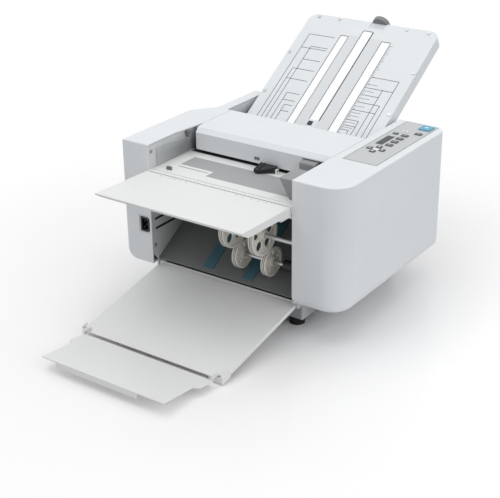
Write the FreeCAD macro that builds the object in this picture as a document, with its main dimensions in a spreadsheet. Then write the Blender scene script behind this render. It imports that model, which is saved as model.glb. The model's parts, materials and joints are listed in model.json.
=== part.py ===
import FreeCAD, Part
import math
import os
import re
import Sketcher

# Desk paper folding machine with two fold plates, four fold rollers, an inclined feed
# table at the back and a stacker with a two-part delivery tray at the front.
# Machine coordinates: x across the paper path from its centre line, y from the front
# faces of the side covers towards the back, z up from the desk. Every sub-part's
# Placement then carries the step to the part's own origin, which lies on the desk
# under the middle of the machine.

# Where the part's own origin lies, seen from the machine coordinates.
PLACE = {
    "path_x": -24.0,
    "front_y": -138.7,
}

# Side covers, side frames and the chassis between them.
CASE = {
    "gap_half": 186.0,
    "frame_wall": 4.0,
    "frame_front": 3.5,
    "cover_back_gap": 9.0,
    "frame_top_gap": 4.0,
    "frame_step_y": 36.0,
    "frame_step_z": 76.0,
    "cover_wall": 3.0,
    "rim_round": 2.5,
    "shelf_front_y": 100.0,
    "shelf_full_y": 184.0,
    "cover_low": 72.0,
    "cover_top": 355.0,
    "cover_depth": 447.0,
    "left_width": 71.0,
    "left_rear_width": 28.0,
    "left_curve_start": 242.0,
    "left_curve_end": 294.0,
    "left_curve_round": 32.0,
    "left_low_round": 24.0,
    "right_width": 119.0,
    "right_front_round": 52.0,
    "right_back_round": 30.0,
    "right_low_round": 24.0,
    "boss_half": 6.0,
    "boss_depth": 14.0,
    "pan_low": 24.0,
    "pan_wall": 3.0,
    "pan_front_rise": 31.0,
    "pan_back_top": 205.0,
    "foot_radius": 17.0,
    "foot_edge_x": 26.0,
    "foot_edge_front": 26.0,
    "foot_edge_back": 38.0,
    "foot_stud_radius": 3.0,
    "tie_radius": 6.0,
    "tie_neck": 4.0,
    "tie_front_y": 90.0,
    "tie_front_z": 60.0,
    "tie_edge": 13.0,
    "tie_back_z": 60.0,
    "skin_gap": 0.3,
}

# One size of screw holds the covers, the plates and the table.
SCREWS = {
    "screw_radius": 2.0,
    "screw_length": 12.0,
    "screw_head_radius": 4.0,
    "screw_head_rise": 1.6,
    "screw_front_y": 10.0,
    "screw_edge": 8.0,
    "screw_low_z": 115.0,
    "screw_top_gap": 14.0,
}

# Power inlet in the front face of the left cover.
INLET = {
    "inlet_aside": 18.8,
    "inlet_z": 163.5,
    "inlet_half_wide": 12.8,
    "inlet_half_high": 17.5,
    "inlet_chamfer": 5.0,
    "inlet_depth": 24.0,
    "inlet_flange": 1.5,
    "inlet_step": 2.2,
    "inlet_margin": 4.0,
    "inlet_well_depth": 18.0,
    "inlet_well_wall": 4.2,
    "inlet_pin_radius": 2.0,
    "inlet_pin_rise": 15.0,
    "inlet_pin_apart": 7.0,
    "inlet_pin_step": 3.0,
}

# Control panel let into the top of the right cover, with its window and keys.
PANEL = {
    "panel_aside": 20.0,
    "panel_edge": 17.0,
    "panel_long": 281.0,
    "panel_back_edge": 7.0,
    "panel_wall": 2.0,
    "panel_rise": 0.4,
    "panel_ledge": 5.0,
    "window_across": 20.5,
    "window_back": 134.5,
    "window_half_wide": 9.0,
    "window_half_long": 30.0,
    "key_gap": 0.35,
    "key_round": 1.6,
    "key_flange": 1.2,
    "key_flange_rise": 1.0,
    "key_stem_radius": 2.0,
    "key_stem": 4.0,
    "key_travel_gap": 0.1,
    "key_rise": 1.8,
    "menu_across": 44.0,
    "menu_first_back": 159.0,
    "menu_step": 23.3,
    "menu_half_wide": 8.0,
    "menu_half_long": 6.0,
    "program_across": 20.0,
    "program_back": 86.0,
    "small_half_wide": 6.0,
    "small_half_long": 5.0,
    "counter_across": 32.0,
    "counter_back": 64.0,
    "reset_across": 64.0,
    "reset_back": 64.0,
    "start_across": 62.0,
    "start_back": 22.0,
    "start_half_wide": 13.5,
    "start_half_long": 14.0,
    "start_rise": 3.0,
    "arrow_across": 32.0,
    "arrow_back": 195.5,
    "arrow_out": 15.0,
    "arrow_half": 6.0,
}

# Hinged top cover over the rollers, with its lift tab, and what lies under it.
TOP = {
    "top_side_gap": 1.0,
    "top_front_y": 145.0,
    "top_back_y": 291.0,
    "top_chamfer": 10.0,
    "top_wall": 3.0,
    "top_front_low": 306.0,
    "top_side_low": 330.0,
    "top_hinge_y": 284.0,
    "top_hinge_z": 340.0,
    "top_pin_radius": 4.0,
    "pin_gap": 0.05,
    "pin_side": 0.3,
    "post_inside": 74.0,
    "post_wide": 6.0,
    "post_back_y": 163.0,
    "notch_drop": 2.5,
    "top_left_inset": 13.0,
    "top_corner_wide": 7.0,
    "top_corner_long": 40.0,
    "catch_wide": 11.0,
    "catch_front_y": 130.0,
    "catch_long": 9.0,
    "catch_low": 335.0,
    "catch_neck": 343.0,
    "catch_high": 351.0,
    "catch_neck_radius": 3.0,
    "lever_wide": 39.0,
    "lever_inside": 28.0,
    "lever_y": 152.0,
    "lever_top_gap": 2.5,
    "lever_front": 22.0,
    "lever_up": 9.0,
    "lever_down": 14.0,
    "lever_back": 5.0,
    "lever_round": 6.0,
    "lever_pin_radius": 4.0,
}

# Front fold plate, its stop, and the guide that leads the sheet to it.
FOLD_PLATE = {
    "plate_tilt": -1.6,
    "plate_back_y": -6.0,
    "plate_back_z": 297.7,
    "plate_long": 168.0,
    "plate_side_gap": 0.3,
    "plate_deep": 16.0,
    "plate_roof": 6.0,
    "plate_slot": 5.5,
    "plate_side_wall": 16.0,
    "plate_front_wall": 8.0,
    "lip_long": 22.0,
    "lip_wall": 3.0,
    "lip_side": 2.5,
    "hook_wide": 12.0,
    "hook_inside": 2.0,
    "hook_front": 30.0,
    "hook_back": 27.0,
    "hook_deep": 6.5,
    "plate_bar_y": 14.0,
    "plate_bar_z": 268.5,
    "stop_side_gap": 5.0,
    "stop_place": 96.0,
    "stop_long": 6.0,
    "stop_gap": 0.4,
    "guide_front_y": -2.0,
    "guide_drop": 0.2,
    "guide_roof": 6.0,
    "guide_slot": 5.5,
    "guide_floor": 4.0,
    "guide_roof_back_y": 160.0,
    "guide_floor_back_y": 128.0,
    "guide_side": 16.0,
    "guide_step_y": 8.0,
    "guide_step_long": 4.0,
    "guide_step_rise": 1.5,
    "latch_left": 16.0,
    "latch_right": 58.0,
    "latch_y": 133.0,
    "latch_z": 304.0,
    "latch_reach": 24.0,
    "latch_tip": 11.0,
    "latch_tip_high": 6.0,
    "latch_rib": 1.5,
    "latch_back": 6.0,
    "latch_low": 300.0,
    "latch_high": 313.0,
    "latch_pin_radius": 2.0,
    "latch_ear": 4.0,
    "wall_plate_front_y": 28.0,
    "wall_plate_back_y": 140.0,
    "wall_plate_gap": 3.5,
    "wall_plate_top_gap": 12.0,
    "wall_plate_wall": 2.0,
    "block_front_y": 27.0,
    "block_back_y": 90.0,
    "block_top_gap": 10.0,
    "block_top_wide": 49.0,
    "block_foot_wide": 24.0,
}

# Rollers, bearings, gears and the main motor.
DRIVE = {
    "roller_radius": 18.0,
    "nip_gap": 0.3,
    "roller_side_gap": 6.0,
    "roller_y": 148.7,
    "roller_z": 233.6,
    "shaft_radius": 5.0,
    "shaft_end": 1.0,
    "gear_end": 2.5,
    "seat_wall": 2.0,
    "seat_rim": 2.0,
    "seat_flange": 1.5,
    "feed_gap": 0.5,
    "feed_radius": 20.0,
    "feed_half": 45.0,
    "gear_teeth": 24,
    "gear_pressure_angle": 20.0,
    "gear_addendum": 0.9,
    "gear_dedendum": 1.25,
    "gear_slack": 0.3,
    "gear_wide": 10.0,
    "gear_gap": 3.0,
    "pinion_teeth": 16,
    "motor_play": 0.15,
    "motor_radius": 25.0,
    "motor_long": 38.0,
    "motor_shaft_radius": 4.0,
    "motor_bore_deep": 20.0,
    "mount_gap": 5.0,
    "mount_wall": 3.0,
    "mount_half_y": 37.0,
    "mount_half_z": 25.0,
    "mount_margin": 8.0,
    "stand_radius": 5.0,
    "mount_hole_radius": 10.0,
}

# Stacker shafts, wheels and the small gearmotor.
STACKER = {
    "lower_y": 45.0,
    "lower_z": 137.0,
    "shaft_step_back": 32.0,
    "shaft_step_up": 74.0,
    "lower_wheel_radius": 33.0,
    "upper_wheel_radius": 46.0,
    "wheel_wide": 12.0,
    "wheel_rim": 5.0,
    "wheel_web": 4.0,
    "wheel_hub_radius": 11.0,
    "wheel_gap": 0.05,
    "wheel_window_count": 5,
    "wheel_inner_x": 30.0,
    "shaft_overhang": 22.0,
    "wheel_outer_x": 105.0,
    "hub_motor_long": 24.0,
    "hub_foot_long": 22.0,
    "hub_motor_radius": 12.0,
    "hub_bracket_half": 9.0,
}

# Inclined feed table: its own axes run across, up the slope and out of the surface.
TABLE = {
    "table_tilt": 32.3,
    "table_y": 290.0,
    "table_z": 283.5,
    "table_side_gap": 9.0,
    "table_low": -15.0,
    "table_high": 422.0,
    "table_deep": 28.0,
    "table_skin": 4.0,
    "table_wall": 4.0,
    "table_round": 22.0,
    "groove_deep": 1.2,
    "groove_left_start": -64.0,
    "groove_left_end": -44.0,
    "groove_mid_start": -13.0,
    "groove_mid_end": 12.0,
    "groove_right_start": 49.0,
    "groove_right_end": 72.0,
    "groove_side_low": 81.0,
    "groove_side_end": 56.0,
    "groove_mid_low": 103.0,
    "groove_mid_end_gap": 31.0,
    "pivot_slope": 60.0,
    "pivot_depth": 14.0,
    "pivot_radius": 4.0,
    "rest_edge": 19.8,
    "sensor_x": -5.0,
    "sensor_slope": 92.0,
    "sensor_half": 6.0,
    "sensor_deep": 7.0,
    "sensor_rise": 1.0,
    "knob_x": 15.0,
    "knob_depth": 7.0,
    "knob_radius": 21.0,
    "knob_wide": 10.0,
    "knob_gap": 0.5,
    "knob_axle_radius": 4.0,
    "knob_axle_long": 10.0,
    "screw_end_outer": 151.0,
    "screw_end_inner": 93.0,
    "screw_end_edge": 8.0,
    "screw_side_edge": 7.0,
    "screw_side_high": 288.0,
    "screw_side_low": 159.0,
    "recess_left": -6.0,
    "recess_right": 36.0,
    "recess_long": 18.0,
    "recess_deep": 2.5,
}

# Rear fold plate, delivery chute and the two-part delivery tray.
DELIVERY = {
    "rear_plate_tilt": -30.0,
    "rear_plate_y": 176.0,
    "rear_plate_z": 226.0,
    "rear_plate_long": 255.0,
    "rear_plate_deep": 14.0,
    "rear_plate_wall": 4.0,
    "rear_plate_side_wall": 14.0,
    "rear_plate_end": 20.0,
    "chute_front_y": 20.0,
    "chute_front_z": 77.8,
    "chute_back_y": 176.0,
    "chute_back_z": 171.4,
    "chute_wall": 2.4,
    "strip_x": 53.0,
    "strip_half": 13.0,
    "strip_wall": 2.2,
    "strip_front_y": 28.0,
    "strip_back_y": 168.0,
    "ear_front_y": 19.0,
    "ear_low_z": 58.0,
    "tray_y": 27.0,
    "tray_z": 67.0,
    "tray_tilt": 11.1,
    "tray_side_gap": 3.0,
    "tray_long": 276.0,
    "tray_wall": 2.0,
    "tray_flange": 9.0,
    "tray_pin_radius": 4.0,
    "tray_boss_radius": 7.0,
    "tray_boss": 8.0,
    "lug_long": 26.0,
    "lug_short": 15.0,
    "lug_rise": 9.0,
    "return_wide": 34.0,
    "return_deep": 13.5,
    "extension_back": 8.0,
    "extension_up": 4.0,
    "extension_tilt": -6.3,
    "extension_step": 13.0,
    "extension_side": 13.0,
    "extension_root": 68.0,
    "extension_long": 156.0,
    "extension_wall": 2.0,
    "extension_drop": 9.5,
    "extension_lip": 8.0,
    "extension_pin_radius": 3.0,
    "extension_pin_gap": 0.1,
    "extension_lug": 4.0,
    "extension_lip_start": -118.0,
    "extension_lip_end": 91.0,
    "extension_lip_deep": 10.5,
    "extension_gap": 10.0,
    "tray_roll_radius": 3.0,
}

SIZES = [PLACE, CASE, SCREWS, INLET, PANEL, TOP, FOLD_PLATE, DRIVE, STACKER, TABLE, DELIVERY]
KNOWN = {name for group_ in SIZES for name in group_}

# Places and sizes that follow from the driving sizes above.
DERIVED = {
    "frame_back": "cover_depth - cover_back_gap",
    "frame_corner_z": "cover_low + right_low_round",
    "screw_back_y": "frame_back - screw_edge",
    "foot_x": "gap_half - foot_edge_x",
    "foot_front_y": "frame_step_y + foot_edge_front",
    "foot_back_y": "frame_back - foot_edge_back",
    "tie_back_y": "frame_back - tie_edge",
    "inlet_x": "-gap_half - inlet_aside",
    "panel_left": "gap_half + panel_aside",
    "panel_right": "gap_half + right_width - panel_edge",
    "panel_back": "cover_depth - panel_back_edge",
    "panel_front": "panel_back - panel_long",
    "window_x": "panel_left + window_across",
    "menu_x": "panel_left + menu_across",
    "program_x": "panel_left + program_across",
    "counter_x": "panel_left + counter_across",
    "reset_x": "panel_left + reset_across",
    "start_x": "panel_left + start_across",
    "arrow_x": "panel_left + arrow_across",
    "window_y": "panel_back - window_back",
    "menu_first_y": "panel_back - menu_first_back",
    "program_y": "panel_back - program_back",
    "counter_y": "panel_back - counter_back",
    "reset_y": "panel_back - reset_back",
    "start_y": "panel_back - start_back",
    "arrow_y": "panel_back - arrow_back",
    "top_half": "gap_half - top_side_gap",
    "post_left": "top_half - post_inside",
    "post_right": "post_left + post_wide",
    "top_left": "-gap_half + top_left_inset",
    "shelf_edge": "top_left - top_side_gap",
    "catch_right": "-gap_half + catch_wide",
    "lever_right": "gap_half - lever_inside",
    "lever_left": "lever_right - lever_wide",
    "plate_half": "gap_half - plate_side_gap",
    "plate_slot_half": "gap_half - plate_side_wall",
    "hook_outer_x": "gap_half - hook_inside",
    "hook_inner_x": "hook_outer_x - hook_wide",
    "stop_half": "plate_slot_half - stop_side_gap",
    "guide_top": "plate_back_z - guide_drop",
    "block_top_x": "gap_half - block_top_wide",
    "block_foot_x": "gap_half - block_foot_wide",
    "block_low": "guide_top + guide_step_rise",
    "block_high": "frame_top - block_top_gap",
    "roller_half": "gap_half - roller_side_gap",
    "shaft_right": "gap_half + frame_wall + shaft_end",
    "gear_near": "gap_half + frame_wall + gear_gap",
    "shaft_left": "gear_near + gear_wide + gear_end",
    "mount_near": "gear_near + gear_wide + mount_gap",
    "seat_radius": "shaft_radius + seat_wall",
    "seat_flange_radius": "seat_radius + seat_rim",
    "feed_y": "table_y - (feed_radius + feed_gap) * sin(table_tilt)",
    "feed_z": "table_z + (feed_radius + feed_gap) * cos(table_tilt)",
    "upper_y": "lower_y - shaft_step_back",
    "upper_z": "lower_z + shaft_step_up",
    "hub_motor_right": "gap_half - hub_foot_long",
    "hub_motor_left": "hub_motor_right - hub_motor_long",
    "table_half": "gap_half - table_side_gap",
    "pivot_y": ("table_y + pivot_slope * cos(table_tilt) + pivot_depth "
                "* sin(table_tilt)"),
    "pivot_z": ("table_z + pivot_slope * sin(table_tilt) - pivot_depth "
                "* cos(table_tilt)"),
    "rest_y": "frame_back - rest_edge",
    "rest_z": ("table_z + ((rest_y - table_y) * sin(table_tilt) - table_deep "
               "- tie_radius - skin_gap) / cos(table_tilt)"),
    "groove_side_high": "table_high - groove_side_end",
    "groove_mid_high": "table_high - groove_mid_end_gap",
    "recess_low": "table_high - recess_long",
    "screw_end_slope": "table_high - screw_end_edge",
    "screw_side_x": "table_half - screw_side_edge",
    "rear_plate_slot_half": "gap_half - rear_plate_side_wall",
    "tray_half": "gap_half - tray_side_gap",
    "tray_pin_y": "tray_y + tray_wall / 2 * sin(tray_tilt)",
    "tray_pin_z": "tray_z + tray_wall / 2 * (1 - cos(tray_tilt))",
    "extension_root_half": "tray_half - extension_side",
    "extension_half": "extension_root_half - extension_step",
    "frame_top": "cover_top - frame_top_gap",
    "wall_plate_high": "frame_top - wall_plate_top_gap",
    "wall_plate_low": "guide_top + wall_plate_gap",
    "screw_high_z": "frame_top - screw_top_gap",
    "lever_z": "notch_top - lever_up - lever_top_gap",
    "notch_top": "cover_top - top_chamfer - notch_drop",
}


doc = FreeCAD.newDocument("PaperFoldingMachine")
sheet = doc.addObject("Spreadsheet::Sheet", "Sizes")
nodes = []


def fill_sheet():
    """One row for each driving size: its name, its value and the value's alias."""
    row = 0
    for group in SIZES:
        for name, value in group.items():
            row = row + 1
            sheet.set("A%d" % row, name)
            sheet.set("B%d" % row, str(value))
            sheet.setAlias("B%d" % row, name)
    doc.recompute()


def tied(text):
    """The same formula with each size written as a cell of the sheet."""
    def cell(word):
        name = word.group(0)
        if name in DERIVED:
            return "(%s)" % tied(DERIVED[name])
        return "Sizes." * (name in KNOWN) + name
    return re.sub(r"[a-z][a-z_0-9]*", cell, str(text))


def value(text):
    """The number that a formula of sizes gives now."""
    return float(sheet.evalExpression(tied(text)))


def tie(thing, name, text):
    """Bind one property to a formula of sizes."""
    thing.setExpression(name, tied(text))


def place(thing, x="0", y="0", z="0"):
    """Bind the three coordinates of a piece's place."""
    tie(thing, "Placement.Base.x", x)
    tie(thing, "Placement.Base.y", y)
    tie(thing, "Placement.Base.z", z)


def turn(thing, axis, angle):
    """Turn a piece about an axis through its own origin, with the angle bound."""
    thing.Placement = FreeCAD.Placement(FreeCAD.Vector(), FreeCAD.Rotation(axis, 1.0))
    tie(thing, "Placement.Rotation.Angle", angle)


ALONG_X = FreeCAD.Rotation(FreeCAD.Vector(0, 1, 0), 90)
ALONG_Y = FreeCAD.Rotation(FreeCAD.Vector(1, 0, 0), -90)
ALONG_Z = FreeCAD.Rotation()
WAYS = {"x": ALONG_X, "y": ALONG_Y, "z": ALONG_Z}
X_AXIS = FreeCAD.Vector(1, 0, 0)


def block(name, x0, x1, y0, y1, z0, z1):
    """A box between two places on each axis."""
    box = doc.addObject("Part::Box", name)
    place(box, x0, y0, z0)
    tie(box, "Length", "(%s) - (%s)" % (x1, x0))
    tie(box, "Width", "(%s) - (%s)" % (y1, y0))
    tie(box, "Height", "(%s) - (%s)" % (z1, z0))
    return box


def rod(name, way, start, end, first, second, radius):
    """A round bar along x, y or z from start to end; first and second place its axis
    on the two other axes, in the order x, y, z."""
    bar = doc.addObject("Part::Cylinder", name)
    bar.Placement = FreeCAD.Placement(FreeCAD.Vector(), WAYS[way])
    spots = {"x": (start, first, second), "y": (first, start, second), "z": (first, second, start)}
    place(bar, *spots[way])
    tie(bar, "Radius", radius)
    tie(bar, "Height", "(%s) - (%s)" % (end, start))
    return bar


def cut(name, body, tools):
    """The body without the tools."""
    result = doc.addObject("Part::Cut", name)
    result.Base = body
    result.Tool = tools[0] if len(tools) == 1 else join(name + "_tools", tools)
    return result


def join(name, pieces):
    """Several overlapping shapes made one solid."""
    result = doc.addObject("Part::MultiFuse", name)
    result.Shapes = pieces
    result.Refine = True
    return result


def common(name, pieces):
    """What several shapes have in common."""
    result = doc.addObject("Part::MultiCommon", name)
    result.Shapes = pieces
    return result


def group(name, pieces):
    """Separate solids that share one node."""
    result = doc.addObject("Part::Compound", name)
    result.Links = pieces
    return result


PLANES = {"xy": "XY_Plane", "xz": "XZ_Plane", "yz": "YZ_Plane"}


def sketch_on(body, plane, level="0"):
    """An empty sketch on one of the body's own origin planes, lifted to a level."""
    planes = {item.Role: item for item in body.Origin.OriginFeatures}
    sketch = body.newObject("Sketcher::SketchObject", body.Name + "_sketch")
    sketch.AttachmentSupport = (planes[PLANES[plane]], [""])
    sketch.MapMode = "FlatFace"
    tie(sketch, "AttachmentOffset.Base.z", "-(%s)" % level if plane == "xz" else level)
    return sketch


def pin_point(sketch, line, across, up):
    """Tie the start of a line to two formulas of sizes."""
    for kind, text, axis in (("DistanceX", across, -2), ("DistanceY", up, -1)):
        number = value(text)
        if number == 0:
            sketch.addConstraint(Sketcher.Constraint("PointOnObject", line, 1, axis))
        else:
            index = sketch.addConstraint(Sketcher.Constraint(kind, -1, 1, line, 1, number))
            tie(sketch, "Constraints[%d]" % index, text)


def draw_outline(sketch, corners):
    """A closed outline of straight lines, every corner tied to the sheet."""
    spots = [FreeCAD.Vector(value(a), value(b), 0) for a, b in corners]
    count = len(corners)
    for number in range(count):
        sketch.addGeometry(Part.LineSegment(spots[number], spots[(number + 1) % count]), False)
    for number in range(count):
        follower = (number + 1) % count
        sketch.addConstraint(Sketcher.Constraint("Coincident", number, 2, follower, 1))
    for number, (across, up) in enumerate(corners):
        pin_point(sketch, number, across, up)


def slab(name, plane, corners, low, high):
    """A PartDesign body: one outline padded from low to high along the plane's normal."""
    body = doc.addObject("PartDesign::Body", name)
    sketch = sketch_on(body, plane, high if plane == "xz" else low)
    draw_outline(sketch, corners)
    pad = body.newObject("PartDesign::Pad", name + "_pad")
    pad.Profile = sketch
    tie(pad, "Length", "(%s) - (%s)" % (high, low))
    doc.recompute()
    return body


def round_edges(body, chosen, radius):
    """Round the edges of the body's last feature that the test picks out."""
    base = body.Tip
    names = ["Edge%d" % (number + 1)
             for number, edge in enumerate(base.Shape.Edges) if chosen(edge)]
    fillet = body.newObject("PartDesign::Fillet", body.Name + "_round")
    fillet.Base = (base, names)
    tie(fillet, "Radius", radius)
    doc.recompute()
    return body


def runs_along(edge, axis):
    """True for a straight edge that runs along x, y or z."""
    if edge.Curve.TypeId != "Part::GeomLine":
        return False
    return abs(getattr(edge.Curve.Direction, axis)) > STRAIGHT


def passes(edge, **places):
    """True when the middle of an edge lies at all the given places."""
    middle = edge.valueAt((edge.FirstParameter + edge.LastParameter) / 2)
    return all(abs(getattr(middle, axis) - value(text)) < NEAR for axis, text in places.items())


STRAIGHT = 0.999
NEAR = 0.5


def node(thing, label, y="0", z="0", tilt=None):
    """Give a finished sub-part its label and its place in the part's own frame."""
    if thing.TypeId in ("Part::Box", "Part::Cylinder"):
        thing = group(label + "_piece", [thing])
    thing.Label = label
    if tilt is not None:
        turn(thing, X_AXIS, tilt)
    place(thing, "path_x", "front_y + %s" % y, z)
    nodes.append(thing)
    return thing


def beside(side, near, far):
    """Low and high x of something between two distances from the centre line."""
    if side < 0:
        return "-(%s)" % far, "-(%s)" % near
    return near, far


def make_side_frame(side, label):
    """A steel side frame with a cut-back lower front corner and an ear for the tray's hinge."""
    low, high = beside(side, "gap_half", "gap_half + frame_wall")
    corners = [("frame_front", "frame_corner_z"), ("ear_front_y", "frame_step_z"),
               ("ear_front_y", "ear_low_z"), ("frame_step_y", "ear_low_z"),
               ("frame_step_y", "pan_low"), ("frame_back", "pan_low"),
               ("frame_back", "frame_top"), ("frame_front", "frame_top")]
    plate = slab(label + "_plate", "yz", corners, low, high)
    holes = [rod("%s_hole_%d" % (label, number), "x", low, high, y, z, radius)
             for number, (y, z, radius) in enumerate(frame_bores(side))]
    return node(cut(label, plate, holes), label)


def frame_bores(side):
    """Centre and radius of every hole through a side frame."""
    bores = [(y, z, "seat_radius") for y, z in shaft_axes(side)]
    bores = bores + [(y, z, "tie_neck") for y, z in TIE_AXES]
    bores = bores + [(y, z, "screw_radius") for y, z in cover_screw_spots()]
    bores = bores + [("pivot_y", "pivot_z", "pivot_radius"),
                     ("tray_pin_y", "tray_pin_z", "tray_pin_radius + pin_gap")]
    bores = bores + [("top_hinge_y", "top_hinge_z", "top_pin_radius + pin_gap")]
    if side < 0:
        bores = bores + [(y, z, "screw_radius") for y, z in mount_spots()]
    else:
        bores = bores + [("lever_y", "lever_z", "lever_pin_radius + pin_gap")]
    return bores


TIE_AXES = [("tie_front_y", "tie_front_z"), ("tie_back_y", "tie_back_z"),
            ("rest_y", "rest_z"), ("plate_bar_y", "plate_bar_z")]


def make_tie_bars():
    """Round bars that hold the side frames apart, with necks in the frames' holes."""
    bars = []
    for number, (y, z) in enumerate(TIE_AXES):
        bar = rod("tie_bar_%d" % number, "x", "-gap_half", "gap_half", y, z, "tie_radius")
        neck = rod("tie_neck_%d" % number, "x", "-gap_half - frame_wall",
                   "gap_half + frame_wall", y, z, "tie_neck")
        bars.append(join("tie_%d" % number, [bar, neck]))
    return node(group("tie_bars", bars), "tie_bars")


def make_base_pan():
    """A folded steel pan between the side frames: a low front lip and a tall back wall."""
    corners = [("frame_step_y", "pan_low"), ("frame_back", "pan_low"),
               ("frame_back", "pan_back_top"), ("frame_back - pan_wall", "pan_back_top"),
               ("frame_back - pan_wall", "pan_low + pan_wall"),
               ("frame_step_y + pan_wall", "pan_low + pan_wall"),
               ("frame_step_y + pan_wall", "pan_low + pan_front_rise"),
               ("frame_step_y", "pan_low + pan_front_rise")]
    pan = slab("pan_fold", "yz", corners, "-gap_half", "gap_half")
    holes = [rod("pan_hole_%d" % number, "z", "pan_low", "pan_low + pan_wall", x, y,
                 "foot_stud_radius")
             for number, (x, y) in enumerate(foot_spots())]
    return node(cut("base_pan", pan, holes), "base_pan")


def foot_spots():
    """The four places of the feet."""
    return [(x, y) for x in ("-foot_x", "foot_x") for y in ("foot_front_y", "foot_back_y")]


def make_feet():
    """Four round rubber feet with their studs up through the pan."""
    feet = []
    for number, (x, y) in enumerate(foot_spots()):
        pad = rod("foot_pad_%d" % number, "z", "0", "pan_low", x, y, "foot_radius")
        stud = rod("foot_stud_%d" % number, "z", "0", "pan_low + pan_wall", x, y,
                   "foot_stud_radius")
        feet.append(join("foot_%d" % number, [pad, stud]))
    return node(group("feet", feet), "feet")


def cover_outline(side, inset):
    """The cover seen from above, drawn in from its outer faces by the inset."""
    back = "cover_depth - %s" % inset
    if side < 0:
        outer = "-gap_half - left_width + %s" % inset
        rear = "-gap_half - left_rear_width + %s" % inset
        return [(outer, inset), ("-gap_half", inset), ("-gap_half", back), (rear, back),
                (rear, "left_curve_end + %s / 2" % inset),
                (outer, "left_curve_start + %s / 2" % inset)]
    outer = "gap_half + right_width - %s" % inset
    return [("gap_half", inset), (outer, inset), (outer, back), ("gap_half", back)]


def upright_rounds(side, inset):
    """Place and radius of each rounded upright corner of a cover."""
    if side < 0:
        return [("-gap_half - left_width + %s" % inset, "left_curve_start + %s / 2" % inset,
                 "left_curve_round - %s" % inset),
                ("-gap_half - left_rear_width + %s" % inset, "left_curve_end + %s / 2" % inset,
                 "left_curve_round")]
    outer = "gap_half + right_width - %s" % inset
    return [(outer, inset, "right_front_round - %s" % inset),
            (outer, "cover_depth - %s" % inset, "right_back_round - %s" % inset)]


def cover_block(name, side, inset, top, low_round):
    """A solid block in the cover's form, smaller all round by the inset."""
    low = "cover_low + %s" % inset
    body = slab(name, "xy", cover_outline(side, inset), low, top)
    for x, y, radius in upright_rounds(side, inset):
        round_edges(body, lambda edge: runs_along(edge, "z") and passes(edge, x=x, y=y), radius)
    seam = side * value("gap_half")
    round_edges(body, lambda edge: abs(edge.BoundBox.ZMax - value(low)) < NEAR
                and not runs_along(edge, "x") and abs(edge.BoundBox.Center.x - seam) > NEAR,
                "%s - %s" % (low_round, inset))
    if inset != "0":
        return body
    return round_edges(body, lambda edge: abs(edge.BoundBox.ZMin - value(top)) < NEAR
                       and abs(edge.BoundBox.Center.x - seam) > NEAR, "rim_round")


def frame_slot(label, side, low_round):
    """The slot in a cover's floor that the side frame and the pan's back pass through."""
    low, high = beside(side, "gap_half - skin_gap", "gap_half + frame_wall + skin_gap")
    return block(label + "_slot", low, high, "ear_front_y - skin_gap",
                 "frame_back + skin_gap", "cover_low", "cover_low + %s" % low_round)


def cover_screw_spots():
    """Where the four screws of a side cover go through the frame."""
    return [(y, z) for y in ("screw_front_y", "screw_back_y")
            for z in ("screw_low_z", "screw_high_z")]


def cover_bosses(label, side):
    """Blocks inside a cover, against the frame, that take the cover's screws."""
    bosses = []
    low, high = beside(side, "gap_half + frame_wall", "gap_half + frame_wall + boss_depth")
    for number, (y, z) in enumerate(cover_screw_spots()):
        front, back = ("cover_wall", "%s + boss_half" % y)
        if y == "screw_back_y":
            front, back = ("%s - boss_half" % y, "cover_depth - cover_wall")
        bosses.append(block("%s_boss_%d" % (label, number), low, high, front, back,
                            "%s - boss_half" % z, "%s + boss_half" % z))
    return bosses


def screw_bores(label, side):
    """The bores for the cover's screws."""
    near, far = beside(side, "gap_half", "gap_half + screw_length")
    return [rod("%s_bore_%d" % (label, number), "x", near, far, y, z, "screw_radius")
            for number, (y, z) in enumerate(cover_screw_spots())]


def cover_shelf():
    """The left cover's ledge that reaches inwards to the top cover's edge."""
    wall = "-gap_half"
    corners = [(wall, "shelf_front_y"), ("shelf_edge", "shelf_full_y"),
               ("shelf_edge", "top_back_y"), (wall, "top_back_y")]
    return slab("cover_shelf", "xy", corners, "cover_top - cover_wall", "cover_top")


def make_cover(side, label, low_round, openings, ledges):
    """A moulded side cover: the outer form hollowed from the seam side, with bosses."""
    outer = cover_block(label + "_outer", side, "0", "cover_top", low_round)
    inner = cover_block(label + "_inner", side, "cover_wall", "cover_top - cover_wall", low_round)
    shell = cut(label + "_shell", outer, [inner, frame_slot(label, side, low_round)] + openings)
    whole = join(label + "_whole", [shell] + ledges + cover_bosses(label, side))
    return node(cut(label, whole, screw_bores(label, side)), label)


def inlet_outline(margin):
    """The inlet seen from the front, with two cut corners, grown by a margin."""
    left, right = ("inlet_x - inlet_half_wide - %s" % margin, "inlet_x + inlet_half_wide + %s" % margin)
    low, high = ("inlet_z - inlet_half_high - %s" % margin, "inlet_z + inlet_half_high + %s" % margin)
    return [(left, low), (right + " - inlet_chamfer", low), (right, low + " + inlet_chamfer"),
            (right, high + " - inlet_chamfer"), (right + " - inlet_chamfer", high), (left, high)]


def inlet_openings():
    """The shallow recess round the inlet and the hole through the cover behind it."""
    recess = block("inlet_recess", "inlet_x - inlet_half_wide - inlet_margin",
                   "inlet_x + inlet_half_wide + 1", "0", "inlet_flange",
                   "inlet_z - inlet_half_high - inlet_margin",
                   "inlet_z + inlet_half_high + inlet_margin")
    hole = slab("inlet_hole", "xz", inlet_outline("-inlet_step"), "0", "cover_wall")
    return [recess, hole]


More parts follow.
